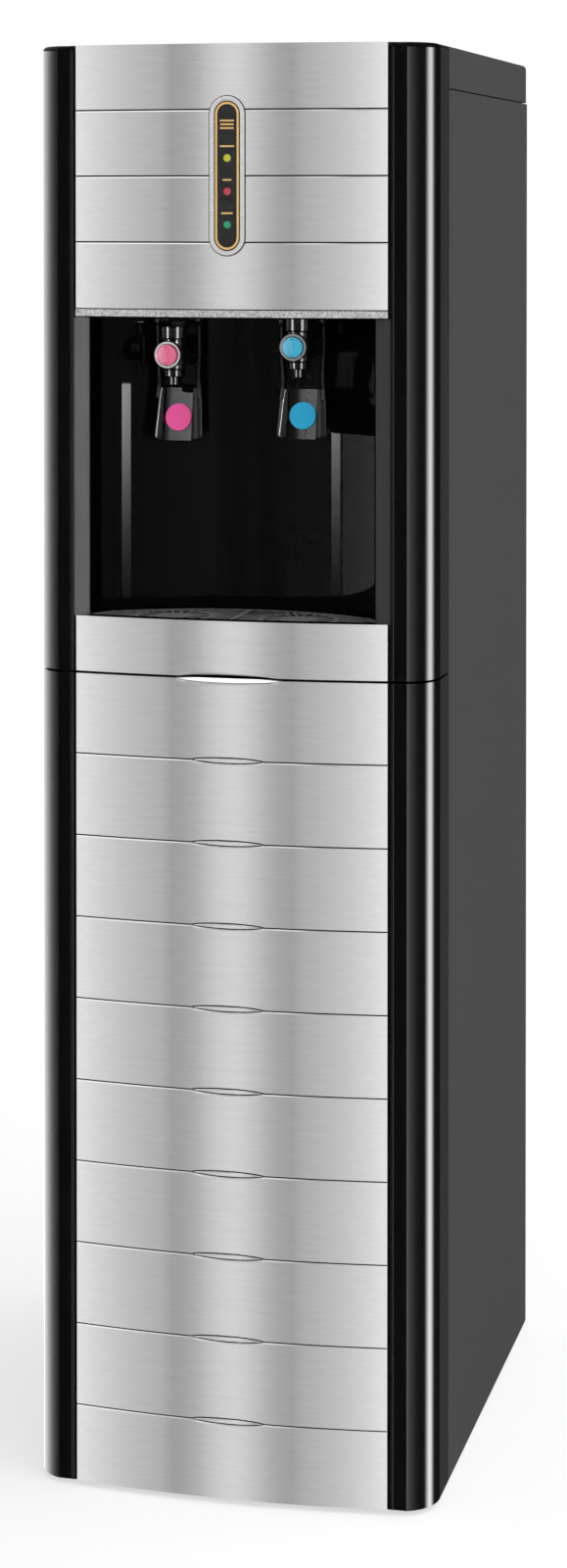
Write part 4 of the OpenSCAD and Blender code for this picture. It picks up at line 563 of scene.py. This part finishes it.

# A dark strip along each groove's upper side is painted shade, standing for the shadow on the flank that
# faces down, over each strip's bright edge.
groove_shade = grained("painted_groove_shade", "#262627", "#1c1c1d", 1.5, (0.6, 0.75), Specular_IOR_Level=0.1)
full_width = np.linspace(-STEEL_X + 0.3, STEEL_X - 0.3, 181)
in_lens = DIMPLE_W / 2 * np.linspace(-0.96, 0.96, 61)
piece("lower_groove_painted_shade",
      [crease(full_width, g + lens(full_width)) for g in lower_grooves] +
      [crease(in_lens, g - lens(in_lens), 0.8) for g in lower_grooves],
      groove_shade, "service_panel")
beside = np.linspace(16.6, STEEL_X - 0.3, 61)
piece("upper_groove_painted_shade",
      [crease(m * beside[::m], np.full(61, g)) for g in upper_grooves for m in (-1, 1)],
      groove_shade, "cabinet")

# Trim under the upper steel: an extruded aluminium strip, bead blasted, curved to the front and
# clipped over the moulding's edge. Blasting leaves a frosted face that sparkles in 1.6 mm spots, which
# are really finer and are drawn as coarse as they need to show.
blasted = grained("bead_blasted_aluminium", "#dcdcdc", "#808080", 1.6, (0.38, 0.5), 0.02, Metallic=1.0)
x_trim = np.linspace(-STEEL_X - 0.2, STEEL_X + 0.2, 81)
hoop = np.array([(1.2, TRIM_Z0), (-0.7, TRIM_Z0), (-1, TRIM_Z0 + 0.3), (-1, TRIM_Z1 - 1.3),
                 (-0.7, TRIM_Z1 - 1.0), (1.2, TRIM_Z1 - 1.0)])
trim_rings = np.stack([np.stack([np.full(6, x), bow(x, hoop[:, 0]), hoop[:, 1]], -1) for x in x_trim])
hook = web(TRIM_Z0, TRIM_Z1 - 1.6, 0.7, 8.0, np.linspace(-141, 141, 61))
piece("canopy_trim_strip", [skin(trim_rings), hook], blasted, "cabinet", ["canopy_trim"])

# Indicator window: a moulded bezel, plated to a soft silver, snapped into the steel, with a dark ring of
# painted shade round its edge.
# Behind it is a gloss window plate with a fine gold border, three lamps and plain gold bars.
plated = grained("satin_plated_bezel", "#dcdcdc", "#c6c6c6", 0.8, (0.2, 0.3), Metallic=1.0)
BEZEL_W, BEZEL_H, FRONT_Y = 32.5, 143.4, -263.6


def track(inset, steps=24):
    """Racetrack outline of the window in X and Z, drawn in by inset."""
    r, straight = BEZEL_W / 2 - inset, (BEZEL_H - BEZEL_W) / 2
    a = np.radians(np.linspace(0, 180, steps))
    top = np.stack([r * np.cos(a), straight + r * np.sin(a)], -1)
    return np.concatenate([top, -top])


def racetrack_rings(rows):
    """Rings of the racetrack, each drawn in by its inset and set at its depth."""
    return np.stack([np.insert(track(inset), 1, depth, axis=1) + [0, 0, BEZEL_Z] for inset, depth in rows])


bezel = racetrack_rings([(inset, FRONT_Y + depth) for inset, depth in (
    (1.0, 5.4), (1.0, 1.3), (0.05, 1.3), (0.0, 0.5), (0.35, 0.12), (1.0, 0.0), (3.0, 0.05), (3.3, 0.25),
    (3.6, 0.05), (4.1, 0.1), (4.5, 0.6), (4.5, 2.8), (6.0, 2.8), (6.0, 5.4), (1.0, 5.4))])


def band(rings):
    """Closed tube over rings of points whose last ring lies on the first."""
    rows, cols = rings.shape[:2]
    ids = np.arange(rows * cols).reshape(rows, cols)
    after = np.roll(ids, -1, 1)
    quads = np.stack([ids[:-1], after[:-1], after[1:], ids[1:]], -1).reshape(-1, 4)
    return rings.reshape(-1, 3), quads


piece("indicator_bezel_ring", [band(bezel)], plated, "cabinet", ["indicator_bezel"])
# Painted shade: a dark ring set in the gap round the bezel's edge, where a shadow would fall.
shadow_ring = racetrack_rings([(-0.8, FRONT_Y + 1.6), (-0.8, FRONT_Y + 0.95), (0.3, FRONT_Y + 0.95),
                          (0.3, FRONT_Y + 1.6), (-0.8, FRONT_Y + 1.6)])
gap_shade = grained("bezel_gap_painted_shade", "#2c2c2d", "#222223", 1.5, (0.6, 0.75))
piece("bezel_painted_shadow", [band(shadow_ring)], gap_shade, "cabinet")

# Window plate: cast acrylic, dark right through, with a clear gloss. The print is screened ink, flat
# and warm, 0.06 mm thick.
pane = grained("gloss_window_plate", "#1c1c1c", "#181818", 30, (0.06, 0.1), Specular_IOR_Level=0.35)
coat(pane, "indicator_plate")
gold = grained("gold_ink", "#efc47c", "#e2b267", 2.0, (0.4, 0.5))
PRINT_Y, INK = FRONT_Y + 0.27, 0.03
border = racetrack_rings([(5.3, PRINT_Y + INK), (5.3, PRINT_Y - INK), (7.2, PRINT_Y - INK),
                          (7.2, PRINT_Y + INK), (5.3, PRINT_Y + INK)])
piece("gold_border", [band(border)], gold, "cabinet")


def bar(middle_z, width, high):
    """Flat bar with round ends, printed on the pane: a racetrack lying down, closed front and back."""
    a = np.radians(np.concatenate([np.linspace(-90, 90, 9), np.linspace(90, 270, 9)]))
    centre = np.repeat([width / 2 - high / 2, high / 2 - width / 2], 9)
    ring = np.column_stack([centre + high / 2 * np.cos(a), np.zeros(18), middle_z + high / 2 * np.sin(a)])
    return skin(np.stack([ring + [0, PRINT_Y + INK, 0], ring + [0, PRINT_Y - INK, 0]]))


BARS = ((1250.6, 13.5), (1247.2, 12.5), (1243.8, 13.0), (1227.6, 13.5), (1197.3, 8.5), (1167.4, 11.0))
piece("gold_bars", [bar(z, width, 1.5) for z, width in BARS], gold, "cabinet")
# Lenses: tinted polystyrene, moulded, a clear even colour with a small highlight on the dome.
for key, name, light, dark in (("lamp_power", "yellow_lens", "#d9dc40", "#c4c62e"),
                               ("lamp_hot", "red_lens", "#d64a54", "#c43c48"),
                               ("lamp_cold", "green_lens", "#30b078", "#239062")):
    coat(grained(name, light, dark, 3.0, (0.15, 0.25)), key)

# Taps: gloss moulded bodies with a round bonnet and a nozzle ring, on a threaded shank through the
# liner. The knob is a turned metal ring, left satin, round a coloured face with a finger rib. Knobs and
# pads are moulded from coloured polypropylene, whose fine texture keeps their highlights soft.
tap_gloss = grained("moulded_gloss_tap", "#0a0a0b", "#080809", 12, (0.02, 0.05), Specular_IOR_Level=0.1)
knob_colour = {"hot": grained("moulded_pink_knob", "#de638d", "#d85c86", 2.5, (0.28, 0.36), 0.01),
               "cold": grained("moulded_blue_knob", "#2eaacb", "#28a3c6", 2.5, (0.28, 0.36), 0.01)}
pad_colour = {"hot": grained("moulded_pink_pad", "#f558a4", "#ee509c", 2.5, (0.28, 0.36), 0.01),
              "cold": grained("moulded_blue_pad", "#14add9", "#0fa5d3", 2.5, (0.28, 0.36), 0.01)}
ring_metal = grained("satin_knob_ring", "#b0b0ac", "#8e8e8a", 0.8, (0.25, 0.38), Metallic=1.0)
SPOUT_Y, PIN_Y, PIN_Z = -230.4, -212.4, 1070.0
FACE_R, FACE_Y, RIB_X, RIB_H = 8.9, -26.2, 1.55, 1.7
spin = np.linspace(0, 2 * math.pi, 72, endpoint=False)
for side, (x, z) in zip(("hot", "cold"), TAPS):
    seat = arc_y(x) - SEAT_RISE - SPOUT_Y
    here = (x, SPOUT_Y, z)
    body = [
        turned([(0, -27.4), (3.75, -27.4), (3.75, -28.4), (5, -28.4), (5.5, -27.8), (5.5, -21.5),
                (5.5, -20.8)], here, "z", 64),
        turned([(5.4, -20.8), (9.6, -20.8), (10.4, -20), (10.4, -14.7), (9.9, -14), (5, -14)], here, "z", 96),
        turned([(5, -14), (11.2, -14), (12, -13.2), (12, 13.2), (11.4, 13.9), (5, 14)], here, "z", 96),
        turned([(5, 13.8), (13.2, 13.9), (14, 14.6), (14, 24.8), (13.4, 25.5), (0, 25.7)], here, "z", 112),
        turned([(4, -15), (9.2, -15), (9.8, -14.4), (9.8, -2), (4, -2)], here, "y", 72),
        turned([(4, 2), (9, 2), (9, seat - 4), (12.4, seat - 4), (13, seat - 3.4), (13, seat), (9, seat),
                (9, seat + 22), (4, seat + 22)], here, "y", 72),
    ]
    post = np.array([[-6, 14.8], [6, 14.8], [6, 19.8], [-6, 19.8]])
    body.append(skin(np.stack([np.column_stack([post, np.full(4, h)]) for h in (0.0, PIN_Z - z + 1)]) + here))
    body.append(turned([(0, -16.8), (4.6, -16.8), (5, -16.4), (5, -8), (3.6, -8), (3.6, 8), (5, 8), (5, 16.4),
                        (4.6, 16.8), (0, 16.8)], (x, PIN_Y, PIN_Z), "x", 48))
    piece(side + "_tap_moulding", body, tap_gloss, "cabinet",
          [side + "_tap_body"] + (["tap_bonnets"] if side == "hot" else []))
    knob = turned([(0, -6), (4, -6), (4, -15.4), (11.8, -15.4), (12.4, -16), (12.4, -22.4), (12.2, -22.9),
                   (11.8, -23.2), (10.4, -23.3), (10, -23.1), (9.8, -22.6), (9.6, -20.4), (0, -20.4)],
                  here, "y", 96)
    piece(side + "_knob_ring_metal", [knob], ring_metal, side + "_knob", [side + "_knob_ring"])

    reach = FACE_R * np.sqrt(np.linspace(0, 1, 26))[:, None]
    fx, fz = reach * np.cos(spin), reach * np.sin(spin)
    swell = 0.36 * (1 - (reach / FACE_R) ** 2) + 0 * fx
    rib = RIB_H / (1 + (fx / RIB_X) ** 6) * np.clip((8.1 - np.abs(fz)) / 1.6, 0, 1)
    face = np.stack([fx, FACE_Y - np.maximum(swell, rib), fz], -1)
    brim = face[-1:] * [1.02, 0, 1.02]
    face = np.concatenate([face, brim + [0, -25.9, 0], brim + [0, -20.6, 0]])
    piece(side + "_knob_face", [skin(face + here)], knob_colour[side], side + "_knob",
          [side + "_knob"])

# Levers: one gloss moulding each, two arms from the pin down to a paddle with a raised rounded rim
# and a scooped middle; a round coloured pad is pressed on a spigot in the scoop.
KNEE_Z, KNEE_Y, FOOT_Y = 58.0, 7.5, 2.3
SCOOP_X, RIM_X, CREST_X, SIDE_X = 12.6, 13.8, 22.6, 23.9
CORNER_R, PADDLE_T, END_R, ARM_Z, ARM_HALF = 4.5, 3.0, 3.0, 72, 2.1


def lever_back(s, length):
    """Depth of the lever's back from its pin, s below it: straight to the knee, then to the foot."""
    return np.interp(s, [0, 30, KNEE_Z, length], [3.6, 4.2, KNEE_Y, -FOOT_Y])


def lever_front(s, length):
    """Depth of the lever's front from its pin, s below it."""
    return np.interp(s, [0, 46, 62, length], [-3.6, -3.2, -1.6, -FOOT_Y - 8])


def ease(t):
    """Quarter round: nought at 0, rising ever more steeply to 1 at 1."""
    return 1 - np.sqrt(1 - t ** 2)


def paddle(length):
    """Front and back grids of the paddle. Across it, the scoop's floor bulges by a parabola, a short
    ramp climbs to the rim, the rim falls back by a parabola and rolls over at its outer edge. Down it,
    the half width grows, and a quarter round closes each bottom corner and the lower edge."""
    s = np.concatenate([np.linspace(63, length - 9, 30),
                        length - 9 + 9 * np.sin(np.radians(np.linspace(6, 90, 16)))])[:, None]
    foot = np.minimum(np.clip((s - (length - 5)) / 5, 0, 1), 0.9999)
    half = np.interp(s, [62, 65, 70, length - 6], [20.2, 21.0, 21.8, 23.7]) - CORNER_R * ease(foot)
    u = np.concatenate([np.linspace(0, SCOOP_X, 8)[:-1], np.linspace(SCOOP_X, RIM_X, 6)[:-1],
                        np.linspace(RIM_X, CREST_X, 12)[:-1],
                        CREST_X + (SIDE_X - CREST_X) * np.sin(np.radians(np.linspace(0, 90, 8)))])
    u = np.concatenate([-u[:0:-1], u])
    out = np.clip(np.abs(u) - RIM_X, 0, None)
    x = np.clip(u, -RIM_X, RIM_X) + np.sign(u) * out * (half - RIM_X) / (SIDE_X - RIM_X)
    down, back = -s + 0 * x, lever_back(s, length)
    floor_y = back - PADDLE_T + 0.35 * (1 - (u / SCOOP_X) ** 2)
    crest = 0.09 * out + 0.02 * out ** 2 + 1.6 * ease(np.clip((out - 8.7) / 1.42, 0, 0.998))
    rise = np.clip((np.abs(u) - SCOOP_X) / (RIM_X - SCOOP_X), 0, 1)
    face = floor_y + (lever_front(s, length) + crest - floor_y) * rise
    end_round = END_R * ease(1 - np.clip((length - s) / END_R, 0, 1))
    face = face + np.minimum(end_round, back - 0.8 - face) * (rise > 0.98)
    drawn_in = 1 - 0.04 * (half - np.abs(x) < 1.5)
    return np.stack([x, face, down], -1), np.stack([x * drawn_in, back + 0 * x, down], -1)


EYE_X = 19.3
eye = np.array([(2.1, -2.1), (6.4, -2.1), (7, -1.5), (7, 1.5), (6.4, 2.1), (2.1, 2.1), (2.1, -2.1)])
for side, (x, z), length in zip(("hot", "cold"), TAPS, (111.0, 108.0)):
    pin = np.array([x, PIN_Y, PIN_Z])
    front, back = paddle(length)
    parts = [wall(front + pin, back + pin)]
    s = np.linspace(0, ARM_Z, 30)[:, None]
    middle, thick = ((lever_back(s, length) + m * lever_front(s, length)) / 2 for m in (1, -1))
    arm_x = np.interp(s, [0, 30, 56, ARM_Z], [EYE_X, 19.2, 18.4, 20.0])
    a = np.linspace(0, 2 * math.pi, 28, endpoint=False)
    cx, cy = (np.sign(c) * np.abs(c) ** 0.6 for c in (np.cos(a), np.sin(a)))
    for m in (-1, 1):
        arm = np.stack([m * (arm_x + ARM_HALF * cx), middle + thick * cy, -s + 0 * cx], -1)
        parts.append(skin(arm + pin))
        parts.append(turned(eye + [0, m * EYE_X], pin, "x", 48))
    piece(side + "_lever_moulding", parts, tap_gloss, side + "_lever", [side + "_lever"],
          sharp=40)

    lean = math.atan((KNEE_Y + FOOT_Y) / (length - KNEE_Z))
    down = (length - 20.5 - KNEE_Z) / math.cos(lean)
    r, h = np.array([(0, -4.45), (11.0, -4.45), (11.3, -4.5), (11.6, -4.65), (12.1, -4.65), (12.4, -4.5),
                     (12.5, -4.3), (12.5, -2.95), (0, -2.95)]).T[:, :, None]
    disc = np.stack([r * np.cos(spin), h + 0 * spin, r * np.sin(spin) - down], -1)
    tilt = np.array([[1, 0, 0], [0, math.cos(lean), math.sin(lean)], [0, -math.sin(lean), math.cos(lean)]])
    disc = disc @ tilt.T + pin + [0, KNEE_Y, -KNEE_Z]
    piece(side + "_pad", [skin(disc)], pad_colour[side], side + "_lever",
          [side + "_lever_pad"])

# Drip tray and grille: the tray is gloss moulded, the grille a matt grey moulding with wedge slots.
# The walls of the slots are painted near black under the top of the bars: painted shade, where little light
# reaches.
grille_finish = grained("matt_moulded_grille", "#9c9c9e", "#88888a", 1.2, (0.35, 0.5), 0.02)
tree = grille_finish.node_tree
grille_colour = tree.nodes["Principled BSDF"].inputs["Base Color"].links[0].from_socket
grille_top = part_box("drip_grille")[1][2]
# Painted shade: the colour goes to near black from 0.1 mm to 0.3 mm under the grille's top.
height = add(tree, "SeparateXYZ", {"Vector": add(tree, "TexCoord").outputs["Object"]}).outputs["Z"]
slot_shade_fac = add(tree, "MapRange", {"Value": height, "From Min": grille_top - 0.3 * MM,
                                 "From Max": grille_top - 0.1 * MM})
painted_slot_shade = add(tree, "Mix", {0: slot_shade_fac.outputs[0], 6: linear("#0a0a0b"), 7: grille_colour}, data_type="RGBA")
tree.links.new(painted_slot_shade.outputs[2], tree.nodes["Principled BSDF"].inputs["Base Color"])
coat(gloss, "drip_tray")
coat(grille_finish, "drip_grille")

# Works inside and fittings behind: each keeps its CAD form and takes the finish of the real one.
# Deep-drawn stainless: upright draw marks and soft highlights.
coat(grained("drawn_stainless", "#c6c8c9", "#aeb0b2", 3.0, (0.22, 0.34), stretch=(8, 8, 1), Metallic=1.0),
     "cold_tank", "hot_tank", "lever_pins")
# Turned brass: warm yellow, a little tarnished.
coat(grained("turned_brass", "#c9a85c", "#a88a45", 1.5, (0.22, 0.35), Metallic=1.0), "tap_nuts")
# Hot-dipped galvanised sheet: dull grey with spangles 9 mm wide.
coat(grained("galvanised_sheet", "#b9bdc0", "#94999d", 9.0, (0.35, 0.6), Metallic=0.8), "lower_shelf",
     "upper_shelf")
# Acetal, polypropylene and polyethylene as moulded or drawn: milky whites with a waxy sheen.
coat(grained("natural_acetal", "#ececea", "#dfdfdc", 5.0, (0.35, 0.5)), "panel_clips", "cold_tank_lid",
     "float_arm", "filter_head", "inlet_fitting", "inlet_valve", "drain_outlets", "control_box")
coat(grained("white_polypropylene", "#f1f1f0", "#e6e6e5", 6.0, (0.3, 0.45)), "filter_cartridges")
coat(grained("white_polyethylene_tube", "#eef0f2", "#e2e5e8", 4.0, (0.3, 0.4)), "water_tubes")
coat(grained("blue_polypropylene", "#3c63a6", "#33568f", 4.0, (0.35, 0.45)), "float_valve")
# Bead foam with beads 3 mm wide, and a jacket of finer foam with cells of 1.5 mm: both matt.
coat(grained("bead_foam", "#f0f0ea", "#d8d8d0", 3.0, (0.8, 0.95), 0.25, detail=1.0), "cold_tank_foam")
coat(grained("grey_foam_jacket", "#606063", "#4b4b4e", 1.5, (0.85, 0.95), 0.15), "hot_tank_jacket")
# Drawn copper: reddish and slightly browned by handling.
coat(grained("drawn_copper", "#c98358", "#a9653f", 6.0, (0.25, 0.42), Metallic=1.0), "evaporator_coil",
     "filter_drier")
# Stove enamel, rubber and nylon: blacks that run from half gloss to dull.
coat(grained("black_stove_enamel", "#1d1d1e", "#151516", 1.2, (0.3, 0.45), 0.02), "compressor", "condenser")
coat(grained("moulded_rubber", "#262627", "#1c1c1d", 1.5, (0.65, 0.8), 0.03), "compressor_grommets",
     "levelling_feet")
coat(grained("black_nylon", "#1d1d1e", "#171718", 2.0, (0.4, 0.55), 0.01), "cord_gland", "switch_frames")
# Rockers of coloured polycarbonate, glossy, and a circuit board under green solder resist.
coat(grained("red_rocker_moulding", "#d43434", "#c02a2a", 3.0, (0.2, 0.3)), "rocker_hot")
coat(grained("green_rocker_moulding", "#2b9c58", "#23874b", 3.0, (0.2, 0.3)), "rocker_cold")
coat(grained("green_circuit_board", "#1f6b3d", "#175531", 2.0, (0.4, 0.6)), "lamp_board")

# Studio: a white floor and a room of soft light. Polished surfaces see tall soft panels round the
# object; the camera sees plain white.
FLOOR = 9.0
floor_mesh = bpy.data.meshes.new("floor")
corners = [(x * FLOOR, y * FLOOR, 0) for x, y in ((-1, -1), (1, -1), (1, 1), (-1, 1))]
floor_mesh.from_pydata(corners, [], [(0, 1, 2, 3)])
floor = bpy.data.objects.new("floor", floor_mesh)
scene.collection.objects.link(floor)
white, tree, shader = finish("white_floor", "#ffffff", Roughness=0.9, Specular_IOR_Level=0.0)
through = add(tree, "BsdfTransparent")
lit = add(tree, "Emission", {"Color": (1, 1, 1, 1), "Strength": 1.14})
path = add(tree, "LightPath")
lifted = add(tree, "MixShader", {0: 0.55, 1: shader.outputs[0], 2: lit.outputs[0]})
seen = add(tree, "MixShader", {0: path.outputs["Is Camera Ray"], 1: shader.outputs[0], 2: lifted.outputs[0]})
blend = add(tree, "MixShader", {0: path.outputs["Is Glossy Ray"], 1: seen.outputs[0], 2: through.outputs[0]})
tree.links.new(blend.outputs[0], tree.nodes["Material Output"].inputs["Surface"])
floor_mesh.materials.append(white)


def level_ramp(tree, value, stops):
    """Grey level by a value from 0 to 1, straight between the given stops."""
    made = add(tree, "ValToRGB", {"Fac": value})
    elements = made.color_ramp.elements
    while len(elements) < len(stops):
        elements.new(1.0)
    for element, (position, _) in zip(elements, stops):
        element.position = position
    for element, (_, level) in zip(elements, stops):
        element.color = (level, level, level, 1)
    return made.outputs[0]


def bearing_ramp(tree, way, stops):
    """Level by bearing round the object, from -Y towards +X in degrees, along the given stops."""
    first, last = stops[0][0], stops[-1][0]
    behind = add(tree, "Math", {0: way.outputs["Y"], 1: -1.0}, operation="MULTIPLY")
    bearing = add(tree, "Math", {0: way.outputs["X"], 1: behind.outputs[0]}, operation="ARCTAN2")
    turn = add(tree, "MapRange", {"Value": bearing.outputs[0], "From Min": math.radians(first),
                                  "From Max": math.radians(last)})
    return level_ramp(tree, turn.outputs[0],
                      [((angle - first) / (last - first), level) for angle, level in stops])


world = bpy.data.worlds.new("studio")
scene.world = world
world.use_nodes = True
tree = world.node_tree
way = add(tree, "SeparateXYZ", {"Vector": add(tree, "TexCoord").outputs["Generated"]})
panels = bearing_ramp(tree, way, [
    (-180, 0.12), (-155, 0.3), (-130, 0.6), (-110, 1.2), (-70, 1.1), (-45, 1.0), (-34, 0.98), (-32, 0.91),
    (-30, 0.79), (-26.2, 0.64), (-22, 0.52), (-21.75, 0.43), (-20.6, 0.43), (-18.5, 0.51), (-16.7, 0.68),
    (-15, 0.79), (-13.9, 0.81), (-12.5, 0.76), (-10.2, 0.57), (-7.2, 0.40), (-6.8, 0.49), (-1.9, 0.64),
    (1.7, 0.81), (3.0, 0.90), (4.0, 1.0), (14, 1.0), (30, 0.6), (70, 0.5), (110, 0.6), (140, 0.04),
    (180, 0.06)])
up = add(tree, "MapRange", {"Value": way.outputs["Z"], "From Min": -1.0, "From Max": 1.0}).outputs[0]
height = level_ramp(tree, up, [(0.0, 0.2), (0.14, 0.35), (0.26, 1.0), (0.66, 1.0), (1.0, 1.25)])
shown = add(tree, "Mix", {0: 1.0, 6: panels, 7: height}, data_type="RGBA", blend_type="MULTIPLY")
path = add(tree, "LightPath")
room = bearing_ramp(tree, way, [(-180, 0.5), (-100, 0.25), (-25, 0.4), (15, 1.1), (70, 1.9), (120, 1.5),
                                (180, 0.6)])
soft = add(tree, "Mix", {0: path.outputs["Is Diffuse Ray"], 6: shown.outputs[2], 7: room}, data_type="RGBA")
plain = add(tree, "Mix", {0: path.outputs["Is Camera Ray"], 6: soft.outputs[2], 7: (1, 1, 1, 1)},
            data_type="RGBA")
tree.links.new(plain.outputs[2], tree.nodes["Background"].inputs["Color"])


# Reflector cards: glowing curved panels far round the object that show only as gloss on the pieces
# they are meant for, as the strips and soft boxes set up for those pieces would.
def card(name, radius, strength, stops, rise, pieces):
    """Panel on a drum round the object, as wide as its stops and as high as its rise, both in degrees. It
    glows by bearing and by height, and light passes through it."""
    low, high = (radius * math.tan(math.radians(angle)) for angle in (rise[0][0], rise[-1][0]))
    turn = np.radians(np.linspace(stops[0][0], stops[-1][0], 73))
    ring = np.stack([radius * np.sin(turn), -radius * np.cos(turn)], -1)
    points = np.concatenate([np.column_stack([ring, np.full(73, z)]) for z in (low, high)])
    ids = np.arange(72)
    mesh = bpy.data.meshes.new(name)
    mesh.from_pydata(points.tolist(), [], np.stack([ids, ids + 1, ids + 74, ids + 73], -1).tolist())
    made = bpy.data.objects.new(name, mesh)
    scene.collection.objects.link(made)
    material = bpy.data.materials.new(name)
    material.use_nodes = True
    tree = material.node_tree
    tree.nodes.clear()
    way = add(tree, "SeparateXYZ", {"Vector": add(tree, "TexCoord").outputs["Object"]})
    across = bearing_ramp(tree, way, [(angle, level / strength) for angle, level in stops])
    up = add(tree, "MapRange", {"Value": way.outputs["Z"], "From Min": low, "From Max": high}).outputs[0]
    along = level_ramp(tree, up, [((radius * math.tan(math.radians(angle)) - low) / (high - low), level)
                                  for angle, level in rise])
    level = add(tree, "Mix", {0: 1.0, 6: across, 7: along}, data_type="RGBA", blend_type="MULTIPLY")
    glow = add(tree, "Emission", {"Color": level.outputs[2], "Strength": strength})
    both = add(tree, "AddShader", {0: glow.outputs[0], 1: add(tree, "BsdfTransparent").outputs[0]})
    tree.links.new(both.outputs[0], add(tree, "OutputMaterial").inputs["Surface"])
    mesh.materials.append(material)
    made.visible_camera = made.visible_diffuse = made.visible_shadow = made.visible_transmission = False
    lit = bpy.data.collections.new(name)
    for piece_name in pieces:
        lit.objects.link(bpy.data.objects[piece_name])
    made.light_linking.receiver_collection = lit


card("column_card", 8.0, 80.0,
     [(-180, 1.5), (-136, 3.0), (-116, 7.5), (-100, 10.5), (-90, 9.5), (-75, 5.5), (-60, 2.0), (-48, 0.4),
      (-40, 0.0), (16, 0.0), (17.5, 30.0), (22, 21.0), (26, 17.0), (33, 10.0), (41, 6.0), (57, 1.3),
      (72, 0.3), (82, 0.5), (87, 5.0), (93, 36.0), (98, 62.0), (103, 75.0), (108, 60.0), (112, 36.0),
      (119, 6.0), (125, 0.1), (155, 0.0), (164, 0.02), (168, 0.1), (180, 0.2)],
     [(-44, 1.0), (15.5, 1.0)], ["upper_front_moulding", "service_panel_moulding"])
back_wall = ["niche_liner_moulding"]
fade = [(-1.43, 0.01), (-1.14, 0.024), (-0.44, 0.058), (0.27, 0.13), (0.98, 0.25), (1.69, 0.43), (2.39, 0.64)]
card("niche_left_strip", 8.4, 60.0, [(41.0, 46), (45.1, 56)], fade + [(3.09, 0.83), (3.76, 1.0)], back_wall)
card("niche_right_strip", 8.4, 60.0, [(-57.7, 33), (-52.9, 38)], fade + [(2.62, 0.72)], back_wall)
card("niche_side_panel", 8.4, 10.0, [(-79.5, 2.2), (-59.1, 2.0)], [(-1.43, 0.9), (2.62, 1.0)], back_wall)
card("tap_card", 8.8, 90.0,
     [(-180, 1), (-142, 2), (-138, 25), (-122, 25), (-118, 3), (-100, 5), (-60, 1), (-42, 1), (-40, 70),
      (-27, 70), (-25, 1), (30, 0), (33, 60), (48, 60), (51, 2), (90, 3), (126, 3), (130, 40), (145, 40),
      (150, 3), (180, 1)],
     [(-30, 0.2), (-8, 0.6), (-3, 1.0), (44, 1.0)], ["hot_tap_moulding", "cold_tap_moulding"])
card("lever_card", 8.8, 90.0,
     [(-175, 14), (-75, 14), (-60, 2), (-56, 2), (-55, 70), (-52, 70), (-51, 2), (-24, 1), (-22, 13),
      (-12.5, 9), (-10.5, 0), (4, 1), (10, 4), (18, 4), (22, 1), (40, 2), (60, 12), (175, 12)],
     [(-40, 0.3), (6, 0.35), (12, 1.0), (60, 1.0)], ["hot_lever_moulding", "cold_lever_moulding"])
card("knob_card", 8.8, 25.0, [(-42, 0), (-38, 20), (-28, 20), (-24, 0)], [(-20, 1), (20, 1)],
     ["hot_knob_face", "cold_knob_face"])
card("hot_ring_card", 8.8, 2.0, [(-120, 1.2), (-20, 1.2), (30, 0.9), (70, 0.3)],
     [(-70, 1), (-2, 1), (30, 0.5)], ["hot_knob_ring_metal"])
card("cold_ring_card", 8.8, 2.0, [(-120, 0.6), (-60, 0.5), (-20, 0.1), (50, 0.1)],
     [(-70, 1), (-2, 1), (30, 0.5)], ["cold_knob_ring_metal"])
card("trim_card", 8.8, 1.0, [(-70, 0.3), (70, 0.3)], [(-40, 1.0), (40, 1.0)],
     ["canopy_trim_strip", "indicator_bezel_ring"])
card("lip_card", 8.8, 2.0, [(-70, 1.2), (70, 1.2)], [(-10, 1.0), (60, 1.0)], ["finger_pull_lip"])
card("band_card", 8.8, 20.0, [(-14, 0), (-4, 14), (24, 14), (40, 0)], [(-30, 1.0), (35, 1.0)],
     ["niche_side_bands"])

# Key lamp: a soft box high on the right, turned to the niche, that shapes the matt pieces.
key = bpy.data.objects.new("key", bpy.data.lights.new("key", "AREA"))
scene.collection.objects.link(key)
key.data.size, key.data.energy = 2.0, 26
key.location = (2.0, -2.6, 2.3)
towards = np.array((0, -0.2, 0.8)) - np.array(key.location)
key.rotation_euler = (math.acos(towards[2] / np.linalg.norm(towards)) - math.pi, 0,
                      math.atan2(towards[1], towards[0]) - math.pi / 2)
key.visible_camera = key.visible_glossy = False
